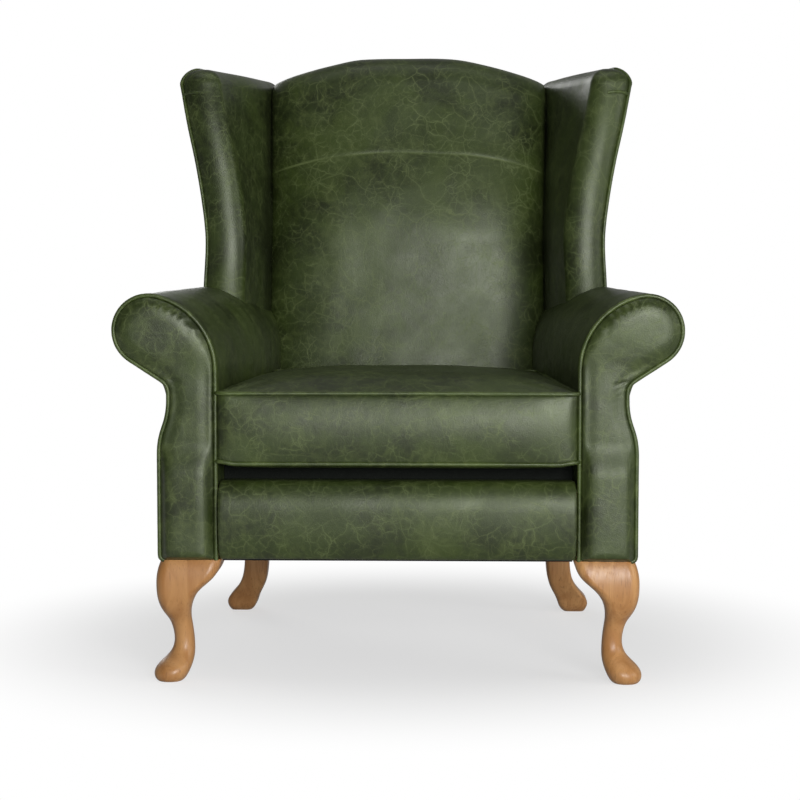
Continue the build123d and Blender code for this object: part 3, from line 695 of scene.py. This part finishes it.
def makeOutsideWing(side):
    name = sideName(side)
    rings = []
    for z, drawn in wingRows(wing["outsideFoot"], 30, 5, 1.2):
        _, outerBack, centre, _, aside, r = wingSection(z, drawn)
        tip = centre + aside * r
        outer, inner = [], []
        for t in np.linspace(0.02, 0.998, 30):
            p = tip + (outerBack - tip) * t
            edge = smooth(t / 0.04) * smooth((1 - t) / 0.03)
            outer.append((*(p + aside * (1.6 * edge + 1.8 * math.sin(math.pi * t))), z))
            inner.append((*(p - aside * 6.0), z))
        rings.append(outer + inner[::-1])
    obj = ringsToMesh(name + "OutsideWing", rings, "strip", mirrored=side < 0)
    finishHide(obj, 0, (name + "_outside_wing",))


for side in (1, -1):
    makeWing(side)
    makeOutsideWing(side)
print("wings made")


# padded back, with its humped crest and the long drawn crease below the head

backPad = {
    "half": 254.0,
    "foot": 334.0,
    "top": 993.5,
    "shoulder": 948.0,
    "humpHalf": 92.0,
    "humpRound": 24.0,
    "humpFall": 0.235,
    "edgeOut": 18.0,
    "thick": 102.0,
    "belly": 22.0,
    "topRoll": 46.0,
    "crease": 808.0,
    "creaseFall": 27.0,
    "columns": 64,
}


def crestUp(x):
    b = backPad
    beyond = abs(x) - b["humpHalf"]
    drop = b["humpFall"] / 2 * (beyond + math.hypot(beyond, b["humpRound"]))
    return upBack(max(b["top"] - drop, b["shoulder"]))


def makeBack():
    b, columns = backPad, backPad["columns"]
    edgeOut = chair["postFront"] + b["edgeOut"]
    face = b["thick"] - b["edgeOut"] - b["belly"]
    hidden = chair["postFront"] + 4
    rings, wearShades = [], []
    for c in range(columns + 1):
        u = -0.55 * math.cos(math.pi * c / columns) + 0.45 * (2 * c / columns - 1)  # closer at the sides
        x = b["half"] * u
        top, foot = crestUp(x), upBack(b["foot"])
        side = (1 - abs(u) ** 5) ** 0.5 * (1 - 0.12 * u * u)
        fall = b["creaseFall"] * (abs(x) / 240) ** 2.3
        creaseAt = upBack(b["crease"] - fall) + 2.2 * wobble((x, 0, 0), 0.014, 2.0)
        below = list(foot + (creaseAt - 12 - foot) * np.linspace(0, 1, 44) ** 0.92)
        near = [creaseAt + d for d in (-8, -5, -3, -1.5, 0, 1.5, 3, 5, 8)]
        above = list(np.linspace(creaseAt + 14, top - b["topRoll"], 12))
        ring = []
        for up in below + near + above:
            belly = b["belly"] * float(bump((up - foot) / (top - foot), 0.56, 0.23))
            groove = float(bump(up, creaseAt, 2.4)) * (0.6 + 0.5 * wobble((x, 0, 0), 0.022, 5.0))
            ridge = float(bump(up, creaseAt + 9, 8.0))
            spot = (x, up, 0)
            soft = 2.0 * wobble(spot, 0.007, 4.0) + 0.9 * wobble(spot, 0.02, 9.0)
            fold = 0.9 * float(bump(up, upBack(640) + 0.06 * x, 15.0)) * smooth(x / 140)
            fold += 1.0 * float(bump(up, upBack(560) - 0.05 * x, 14.0)) * smooth(-x / 160)
            soft += 0.7 * ridge - 0.5 * groove - fold
            ring.append(onBack(x, up, edgeOut + (face + belly + soft) * side))
            # paler along the drawn crease, rubbed wear; darker towards the sides where the pad rolls
            # into the grooves by the wings: painted shade
            wearShades.append(plainWearShade + 0.42 * groove - 0.45 * float(bump(abs(u), 1.0, 0.035)))
        rollOut, worn = edgeOut + face * side, len(ring)
        for k in range(1, 11):
            turn = math.pi / 2 * k / 10
            up = top - b["topRoll"] * (1 - math.sin(turn))
            out = rollOut - b["topRoll"] * (1 - math.cos(turn))
            ring.append(onBack(x, up + 0.8 * wobble((x, up, 3), 0.02), out))
        for out in np.linspace(rollOut - b["topRoll"], 3.0, 8)[1:]:
            ring.append(onBack(x, top, out))
        wearShades += [plainWearShade] * (len(ring) - worn)
        rear = len(ring)
        for up, out in ((top - 6, 3.0), (top - 30, 6.0), (top - 60, 20.0)):
            ring.append(onBack(x, up, out))
        for up in (top - 120, foot + 60, foot):
            ring.append(onBack(x, up, hidden))
        # a little darker on the hidden rear
        wearShades += [0.4] * (len(ring) - rear)
        rings.append(ring)
    obj = ringsToMesh("backPad", rings)
    # the end caps darker still: painted shade in the grooves by the wings
    setWearShade(obj, wearShades, 0.3)
    finishHide(obj, 1, ("back_cover", "back_padding"))


def makeOutsideBack():
    rings = []
    half, hem, post = chair["backHalf"], chair["hem"], chair["postFront"]
    for x in np.linspace(-half, half, 49):
        top = crestUp(x) + 1.0
        ring = []
        ups = np.linspace(-hem, top, 40)
        for up in ups:
            edge = smooth((half - abs(x)) / 10) * smooth((top - up) / 8) * smooth(up / 8)
            swell = 3.0 * math.cos(math.pi * x / (2 * half))
            swell *= math.sin(math.pi * np.clip(up / top, 0, 1))
            soft = 0.8 * wobble((x, up, 1), 0.008, 2.0)
            ring.append(onBack(x, up, 1.6 - 1.6 * edge - (swell + soft) * edge))
        rings.append(ring + [onBack(x, up, 4.0) for up in ups[::-1]])
    obj = ringsToMesh("outsideBack", rings, "strip")
    finishHide(obj, 1)
    turned = ((half - 3, 2.0), (half, 3.0), (half + 0.4, 24.0), (half, post), (half - 3, post))
    for side in (1, -1):  # the cover turned round the back posts below the wings
        ups = np.linspace(-hem, upBack(arm["scrollZ"]), 30)
        rows = [[onBack(side * x, up, out) for x, out in turned] for up in ups]
        strip = ringsToMesh("backEdge" + sideName(side).title(), rows)
        finishHide(strip, 0)
    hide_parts("outside_back")


makeBack()
makeOutsideBack()
print("back made")


# padded front border over the front rail

border = {
    "half": 274.0,
    "top": 311.0,
    "breast": 264.0,
    "proud": 6.0,
    "roll": 27.0,
    "tuck": 19.0,
}


def makeBorder():
    b, base = border, chair["legHeight"]
    breast, top = b["breast"], b["top"]
    profile = [(34.0, base + 0.5), (14.0, base + 0.3)]  # from under the rail, up and over the front
    for k in range(20):
        turn = 1.5 * (1 - k / 20)
        y = b["tuck"] * (1 - math.cos(turn)) - b["proud"]
        profile.append((y, breast - (breast - base - 0.5) * math.sin(turn)))
    for k in range(15):
        turn = math.pi / 2 * k / 14
        y = b["roll"] * (1 - math.cos(turn)) - b["proud"]
        profile.append((y, breast + (top - breast) * math.sin(turn)))
    profile += [(40.0, top), (52.0, top - 1), (58.0, top - 5), (58.0, 302.0), (34.0, 301.0)]
    rings = []
    for x in (-1, -0.997, -0.99, *np.linspace(-0.975, 0.975, 60), 0.99, 0.997, 1):
        ring = []
        for y, z in profile:
            wide = b["half"] - chair["slope"] * max(y, 0)
            edge = 2.0 * (1 - smooth((1 - abs(x)) / 0.012))
            soft = 0.8 * wobble((x * 280, y, z), 0.013, 6.0) * smooth((1 - abs(x)) / 0.05)
            out = y + edge + (soft if y < 30 else 0)
            ring.append((x * wide, out, z - edge * smooth((z - 290) / 20)))
        rings.append(ring)
    obj = ringsToMesh("frontBorder", rings)
    finishHide(obj, 1, ("front_border_cover", "front_border_padding"))


makeBorder()
print("front border made")


# loose seat cushion: boxed, blown up as cloth between its two piped seams

cushion = {
    "bottom": 334.6,
    "height": 111.0,
    "crown": 20.0,
    "cornerLift": 3.5,
    "sag": 8.0,
    "bulge": 10.0,
    "front": 0.5,
    "sideGap": -3.0,
    "backGap": 8.0,
    "backStand": 98.0,  # how far the back pad reaches over its posts here
    "depth": 515.0,  # about, to tell the side points
    "drawIn": 5.0,
    "corner": 0.055,
    "across": 62,
    "deep": 58,
    "tall": 14,
    "pressure": 3.0,
    "frames": 20,
    "most": 9.0,  # no point is blown further than this
}


def cushionBack(z):
    return backY(z, chair["postFront"] + cushion["backStand"]) - cushion["backGap"]


def cushionEdge(u, v, z):  # u across, v from front to back, both -1 to 1
    c = cushion
    y = c["front"] + (cushionBack(z) - c["front"]) * (v + 1) / 2
    half = chair["seatHalf"] - chair["slope"] * y - c["sideGap"]
    half -= c["drawIn"] * (1 - v * v)
    y += c["drawIn"] * (1 - u * u) * smooth((-v - 0.2) / 0.8)
    return u * half, y


def roundCorner(u, v):
    r = cushion["corner"]
    a, b = abs(u), abs(v)
    if a > 1 - r and b > 1 - r:
        p, q = (a - 1 + r) / r, (b - 1 + r) / r
        length = max(p, q) / math.hypot(p, q)
        a, b = 1 - r + r * p * length, 1 - r + r * q * length
    return math.copysign(a, u), math.copysign(b, v)


def cornerLift(x, y, z):  # the lower front corners ride up a little
    c = cushion
    near = smooth((abs(x) - 246) / 26) * smooth((c["front"] + 40 - y) / 36)
    return c["cornerLift"] * near * max(0.0, 1 - (z - c["bottom"]) / c["height"])


def evaluatedMesh(obj):
    return bpy.data.meshes.new_from_object(obj.evaluated_get(bpy.context.evaluated_depsgraph_get()))


def makeCushion():
    c = cushion
    nx, ny, nz = c["across"], c["deep"], c["tall"]
    index, points, faces = {}, [], []

    def at(i, j, k):
        if (i, j, k) not in index:
            u, v = roundCorner(2 * i / nx - 1, 2 * j / ny - 1)
            z = c["bottom"] + c["height"] * k / nz
            x, y = cushionEdge(u, v, z)
            y -= c["bulge"] * (1 - (2 * k / nz - 1) ** 2) * smooth((-v - 0.9) / 0.1) * (1 - u**6)
            pillow = ((1 - u**6) * (1 - v**6)) ** 0.5
            if k == nz:
                z += c["crown"] * pillow * (1 - 0.6 * smooth((v + 0.3) / 1.1))
            if k == 0:
                z -= c["sag"] * pillow
            index[i, j, k] = len(points)
            points.append((x, y, z))
        return index[i, j, k]

    for k in (0, nz):
        for i in range(nx):
            for j in range(ny):
                faces.append((at(i, j, k), at(i + 1, j, k), at(i + 1, j + 1, k), at(i, j + 1, k)))
    for k in range(nz):
        for i in range(nx):
            for j in (0, ny):
                faces.append((at(i, j, k), at(i + 1, j, k), at(i + 1, j, k + 1), at(i, j, k + 1)))
        for j in range(ny):
            for i in (0, nx):
                faces.append((at(i, j, k), at(i, j + 1, k), at(i, j + 1, k + 1), at(i, j, k + 1)))
    obj = meshFrom("seatCushion", points, faces)
    held = obj.vertex_groups.new(name="held")  # the bottom and the top seam stay where they are
    rest = [v.co.copy() for v in obj.data.vertices]
    low, high = c["bottom"] / 1000, (c["bottom"] + c["height"]) / 1000
    for v in obj.data.vertices:
        x, y, z = fromWorld(v.co)
        edgeX, _ = cushionEdge(1.0, max(-1, min(1, 2 * (y - c["front"]) / c["depth"] - 1)), z)
        onSide = abs(x) > edgeX - 3 or y < c["front"] + 8 or y > cushionBack(z) - 4
        if v.co.z < low + 0.0005 or (onSide and abs(v.co.z - high) < 0.0012):
            held.add([v.index], 1.0, "REPLACE")
    moved = rest
    cloth = obj.modifiers.new("fill", "CLOTH")
    s = cloth.settings
    s.quality = 5
    s.mass = 0.4
    s.tension_stiffness = s.compression_stiffness = 14
    s.shear_stiffness = 8
    s.bending_stiffness = 1.2
    s.use_pressure = True
    s.uniform_pressure_force = c["pressure"]
    s.vertex_group_mass = "held"
    s.effector_weights.gravity = 0
    cloth.point_cache.frame_start, cloth.point_cache.frame_end = 1, c["frames"]
    for step in range(1, c["frames"] + 1):
        bpy.context.scene.frame_set(step)
    grown = evaluatedMesh(obj)
    obj.modifiers.remove(cloth)
    moved = [v.co.copy() for v in grown.vertices]
    bpy.data.meshes.remove(grown)
    bpy.context.scene.frame_set(1)
    reach, cap = 0.0, c["most"] / 1000
    for v, a, b in zip(obj.data.vertices, rest, moved):
        step = b - a
        if step.length > cap:
            step *= cap / step.length
        reach = max(reach, step.length)
        v.co = a + step
        v.co.z += cornerLift(*fromWorld(v.co)) / 1000
        if a.z > high + 0.001:
            spot = (v.co.x * 1000, v.co.y * 1000, 0)
            v.co.z += 0.0012 * wobble(spot, 0.012, 3.0) + 0.0006 * wobble(spot, 0.035, 7.0)
    obj.vertex_groups.clear()
    finishHide(obj, 1, ("cushion_cover", "cushion_core"), "seat_cushion")
    print("cushion filled, moved", round(reach * 1000, 1), "mm")


makeCushion()


# piping: one node tree runs a round welt along any seam

def makeWeltTree():
    tree = bpy.data.node_groups.new("weltAlongSeam", "GeometryNodeTree")
    face = tree.interface
    face.new_socket("Seam", in_out="INPUT", socket_type="NodeSocketGeometry")
    for label, value in (("Radius", 0.0035), ("Step", 0.004), ("Ripple", 0.00025)):
        face.new_socket(label, in_out="INPUT", socket_type="NodeSocketFloat").default_value = value
    face.new_socket("Finish", in_out="INPUT", socket_type="NodeSocketMaterial")
    face.new_socket("Welt", in_out="OUTPUT", socket_type="NodeSocketGeometry")
    n, link = tree.nodes, tree.links.new
    start, end = n.new("NodeGroupInput"), n.new("NodeGroupOutput")
    sample, tube = n.new("GeometryNodeResampleCurve"), n.new("GeometryNodeCurveToMesh")
    ring = n.new("GeometryNodeCurvePrimitiveCircle")
    sample.mode = "LENGTH"
    ring.inputs["Resolution"].default_value = 10
    tube.inputs["Fill Caps"].default_value = True
    link(start.outputs["Seam"], sample.inputs["Curve"])
    link(start.outputs["Step"], sample.inputs["Length"])
    link(start.outputs["Radius"], ring.inputs["Radius"])
    link(sample.outputs[0], tube.inputs["Curve"])
    link(ring.outputs[0], tube.inputs["Profile Curve"])
    speckle = n.new("ShaderNodeTexNoise")
    centre, scale = n.new("ShaderNodeVectorMath"), n.new("ShaderNodeVectorMath")
    speckle.inputs["Scale"].default_value = 160.0
    centre.operation, scale.operation = "SUBTRACT", "SCALE"
    centre.inputs[1].default_value = (0.5, 0.5, 0.5)
    link(speckle.outputs["Color"], centre.inputs[0])
    link(centre.outputs[0], scale.inputs[0])
    link(start.outputs["Ripple"], scale.inputs["Scale"])
    shift, shade = n.new("GeometryNodeSetPosition"), n.new("GeometryNodeSetShadeSmooth")
    real, paint = n.new("GeometryNodeRealizeInstances"), n.new("GeometryNodeSetMaterial")
    link(tube.outputs[0], shift.inputs["Geometry"])
    link(scale.outputs[0], shift.inputs["Offset"])
    link(shift.outputs[0], shade.inputs[0])
    link(shade.outputs[0], real.inputs[0])
    link(real.outputs[0], paint.inputs["Geometry"])
    link(start.outputs["Finish"], paint.inputs["Material"])
    link(paint.outputs[0], end.inputs[0])
    return tree


def runTree(tree, source, values):
    mod = source.modifiers.new("make", "NODES")
    mod.node_group = tree
    for item in tree.interface.items_tree:
        if item.in_out == "INPUT" and item.name in values:
            mod[item.identifier] = values[item.name]
    mesh = evaluatedMesh(source)
    source.modifiers.remove(mod)
    bpy.data.objects.remove(source)
    return mesh


def seamCurve(seams):  # several seams, each (points, closed), in one curve
    curve = bpy.data.curves.new("seam", "CURVE")
    curve.dimensions = "3D"
    for points, closed in seams:
        line = curve.splines.new("POLY")
        line.points.add(len(points) - 1)
        for spot, p in zip(line.points, points):
            spot.co = (*toWorld(p), 1)
        line.use_cyclic_u = closed
    return addObject("seam", curve)


weltTree = makeWeltTree()
welt = {
    "radius": 3.4,
    "wingRadius": 3.0,
    "step": 4.0,
    "ripple": 0.4,
    "facingDepth": 9.0,
    "facingInset": 3.6,
    "cushionProud": 1.2,
    "wingTurn": 0.35,  # how far round the wing's front roll it lies
    "wearAndShade": 0.5,
}


def makeWelt(name, seams, body, replaced, radius=welt["radius"]):
    values = {"Radius": radius, "Step": welt["step"], "Ripple": welt["ripple"]}
    values = {key: value / 1000 for key, value in values.items()}
    obj = addObject(name, runTree(weltTree, seamCurve(seams), values | {"Finish": weltLeather}))
    wearShadeByPlace(obj, lambda p: welt["wearAndShade"] + 0.16 * wobble(p, 0.03))
    finishPiece(obj, weltLeather, body, "piping_leather", 0, replaced)


def wingEdge(side, z, turn, proud):  # on the wing's front roll, turned from its outside to its front
    _, _, centre, ahead, aside, r = wingSection(z, 0)
    p = wingFront(centre, ahead, aside, r + proud, turn)
    return (side * p[0], p[1], z)


def cushionSeam(z):
    steps = [2 * i / 60 for i in range(60)]
    loop = [(t - 1, -1) for t in steps] + [(1, t - 1) for t in steps]
    loop += [(1 - t, 1) for t in steps] + [(-1, 1 - t) for t in steps]
    points, proud = [], welt["cushionProud"]
    for u, v in loop:
        u, v = roundCorner(u, v)
        x, y = cushionEdge(u, v, z)
        x += proud * math.copysign(1, u) * smooth((abs(u) - 0.9) / 0.1)
        y += proud * math.copysign(1, v) * smooth((abs(v) - 0.9) / 0.1)
        points.append((x, y, z + cornerLift(x, y, z)))
    return points


def facingSeam(side):
    edge = resample(armSection(welt["facingInset"], arm["footRound"]), 220)
    return [alongArm(x, welt["facingDepth"], z) * np.array([side, 1, 1]) for x, z in edge]


def wingSeam(side):  # up the front roll, over its top and back to the post
    straight, bends = 60, 11
    rows = wingRows(wing["pipingFoot"], straight, bends, 1.35)
    path = [wingEdge(side, z, welt["wingTurn"], 1.4) for z, _ in rows[:straight]]
    for k, (z, drawn) in enumerate(rows[straight:], 1):
        _, outerBack, centre, ahead, aside, r = wingSection(z, drawn)
        p = centre + aside * (r + 1.0) + ahead * (wing["flat"] + 0.2 * (1 - k / bends)) * r
        path.append((side * p[0], p[1], z))
    for t in np.linspace(0.04, 0.97, 24):
        q = p + (outerBack - p) * t
        path.append((side * q[0], q[1], z + 1.0 - 2.0 * t))
    return path


def hookSeam(side):  # the short seam that hooks in round the top of the front roll
    path = []
    for t in np.linspace(0, 1, 14):
        z = wing["hook"] + 9 * math.sin(t * 1.4) - 6 * t * t
        path.append(wingEdge(side, z, welt["wingTurn"] + 1.35 * t, 0.6 - 1.6 * t))
    return path


heights = (cushion["bottom"] + cushion["height"], cushion["bottom"] + welt["radius"])
seams = [(cushionSeam(z), True) for z in heights]
makeWelt("cushionPiping", seams, "seat_cushion", ("cushion_piping",))
for side in (1, -1):
    name = sideName(side)
    makeWelt(name + "FacingPiping", [(facingSeam(side), False)], "chair", (name + "_facing_piping",))
    seams = [(wingSeam(side), False), (hookSeam(side), False)]
    makeWelt(name + "WingPiping", seams, "chair", (name + "_wing_piping",), welt["wingRadius"])
print("piping made")


# zip teeth on the cushion's back border, and staples round the dust cover

def makeRowTree():
    tree = bpy.data.node_groups.new("rowOfPieces", "GeometryNodeTree")
    face = tree.interface
    face.new_socket("Line", in_out="INPUT", socket_type="NodeSocketGeometry")
    face.new_socket("Pitch", in_out="INPUT", socket_type="NodeSocketFloat").default_value = 0.002
    face.new_socket("Size", in_out="INPUT", socket_type="NodeSocketVector")
    face.new_socket("Finish", in_out="INPUT", socket_type="NodeSocketMaterial")
    face.new_socket("Row", in_out="OUTPUT", socket_type="NodeSocketGeometry")
    n, link = tree.nodes, tree.links.new
    start, end = n.new("NodeGroupInput"), n.new("NodeGroupOutput")
    points, piece = n.new("GeometryNodeCurveToPoints"), n.new("GeometryNodeMeshCube")
    place = n.new("GeometryNodeInstanceOnPoints")
    points.mode = "LENGTH"
    real, paint = n.new("GeometryNodeRealizeInstances"), n.new("GeometryNodeSetMaterial")
    link(start.outputs["Line"], points.inputs["Curve"])
    link(start.outputs["Pitch"], points.inputs["Length"])
    link(start.outputs["Size"], piece.inputs["Size"])
    link(points.outputs["Points"], place.inputs["Points"])
    link(points.outputs["Rotation"], place.inputs["Rotation"])
    link(piece.outputs[0], place.inputs["Instance"])
    link(place.outputs[0], real.inputs[0])
    link(real.outputs[0], paint.inputs["Geometry"])
    link(start.outputs["Finish"], paint.inputs["Material"])
    link(paint.outputs[0], end.inputs[0])
    return tree


rowTree = makeRowTree()
zipTeeth = {
    "pitch": 2.1,
    "size": (0.0046, 0.0006, 0.0010),  # m
    "half": 197.0,
    "proud": 1.4,
}
staples = {
    "pitch": 38.0,
    "size": (0.0008, 0.0007, 0.010),  # m
    "drop": 1.8,
    "lines": (  # y and x at each end
        (24, 24, -250, 250),
        (616, 616, -230, 230),
        (120, 560, 338, 302),
        (120, 560, -338, -302),
    ),
}


def makeRow(name, seams, sizes, body, slot):
    material = slotMaterials[slot]
    values = {"Pitch": sizes["pitch"] / 1000, "Size": sizes["size"], "Finish": material}
    obj = addObject(name, runTree(rowTree, seamCurve(seams), values))
    finishPiece(obj, material, body, slot, 0)
    for poly in obj.data.polygons:
        poly.use_smooth = False


low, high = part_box("cushion_zip")
zipY = (low[1] + high[1]) / 2 * 1000 - frontY + zipTeeth["proud"]
zipZ = (low[2] + high[2]) / 2 * 1000
line = [(x, zipY, zipZ) for x in np.linspace(-zipTeeth["half"], zipTeeth["half"], 40)]
makeRow("zipTeeth", [(line, False)], zipTeeth, "seat_cushion", "zip_metal")
base = chair["legHeight"] - staples["drop"]
lines = [([(x0, y0, base), (x1, y1, base)], False) for y0, y1, x0, x1 in staples["lines"]]
makeRow("dustCoverStaples", lines, staples, "chair", "zinc_hardware")
print("zip teeth and staples made")


# stage: pale floor, soft studio light and the photograph's camera

stage = {
    "cameraPlace": (94.5, -3155.5, 682.2),  # mm, from under the front of the arms
    "turn": 1.63,
    "pitch": 4.454,
    "lens": 93.88,
    "fill": 0.09,
    "behind": 0.4,
    "lamps": (  # name, place, aim, size in metres, watts
        ("keySoftbox", (1.0, -4.2, 1.1), (0, 0, 0.55), (2.0, 1.4), 138),
        ("rightSoftbox", (3.3, -1.6, 1.5), (0, 0, 0.6), (1.6, 1.6), 26),
        ("topSoftbox", (0.0, -0.35, 3.2), (0, 0.0, 0.45), (2.6, 1.4), 14),
        ("backSoftbox", (-1.8, 3.6, 1.7), (0, 0.2, 0.5), (2.0, 1.5), 30),
    ),
}


def makeFloor():
    s = Shader("paleFloor")
    s.main.inputs["Roughness"].default_value = 0.9
    glow = s.add("ShaderNodeEmission", {"Color": (1, 1, 1, 1), "Strength": 1.0})
    path = s.add("ShaderNodeLightPath")
    grey = s.mix(path.outputs["Is Diffuse Ray"], (0.86, 0.86, 0.86), (0.30, 0.30, 0.30))
    s.link(grey, s.main.inputs["Base Color"])
    far = s.vector("LENGTH", {0: s.place})["Value"]
    looks = s.math("MAXIMUM", path.outputs["Is Camera Ray"], path.outputs["Is Transmission Ray"])
    looks = s.math("MAXIMUM", looks, s.math("MULTIPLY", path.outputs["Is Glossy Ray"], 0.25))
    seen = s.math("MULTIPLY", looks, s.ramp(far, 0.38, 0.85, 0.6, 1.0))  # white but for the shadow below
    blend = s.add("ShaderNodeMixShader", {0: seen, 1: s.main.outputs[0], 2: glow.outputs[0]})
    s.link(blend.outputs[0], s.out.inputs[0])
    bpy.ops.mesh.primitive_plane_add(size=80, location=(0, 0, -0.0005))
    floor = bpy.context.object
    floor.name = "paleFloor"
    floor.data.materials.append(s.material)


def makeLamp(name, place, aim, size, power):
    lamp = bpy.data.lights.new(name, "AREA")
    lamp.shape = "RECTANGLE"
    lamp.size, lamp.size_y = size
    lamp.energy = power
    obj = addObject(name, lamp)
    obj.location = place
    obj.rotation_euler = (Vector(aim) - Vector(place)).to_track_quat("-Z", "Y").to_euler()


def makeWorld():  # white where the camera looks, and behind the chair for reflections
    world = bpy.data.worlds.new("studio")
    bpy.context.scene.world = world
    s = Wiring(world)
    path = s.add("ShaderNodeLightPath").outputs
    axes = s.add("ShaderNodeSeparateXYZ", {0: s.add("ShaderNodeTexCoord").outputs["Generated"]})
    behind = s.add("ShaderNodeMapRange", {"Value": axes.outputs["Y"], "To Max": stage["behind"]})
    seen = s.math("MULTIPLY", behind.outputs[0], path["Is Glossy Ray"])
    for ray in ("Is Camera Ray", "Is Transmission Ray"):
        seen = s.math("MAXIMUM", seen, path[ray])
    fill, white = (
        s.add("ShaderNodeBackground", {"Color": (1, 1, 1, 1), "Strength": strength}).outputs[0]
        for strength in (stage["fill"], 1.0)
    )
    blend = s.add("ShaderNodeMixShader", {0: seen, 1: fill, 2: white})
    s.add("ShaderNodeOutputWorld", {0: blend.outputs[0]})


def makeCamera():
    s = stage
    data = bpy.data.cameras.new("photoView")
    data.lens, data.sensor_width = s["lens"], 36.0
    data.clip_end = 200
    obj = addObject("photoView", data)
    obj.location = toWorld(s["cameraPlace"])
    obj.rotation_euler = (math.radians(90 - s["pitch"]), 0, math.radians(s["turn"]))
    bpy.context.scene.camera = obj


makeFloor()
makeWorld()
for lamp in stage["lamps"]:
    makeLamp(*lamp)
makeCamera()
bpy.context.scene.view_settings.view_transform = "Standard"
print("stage ready")
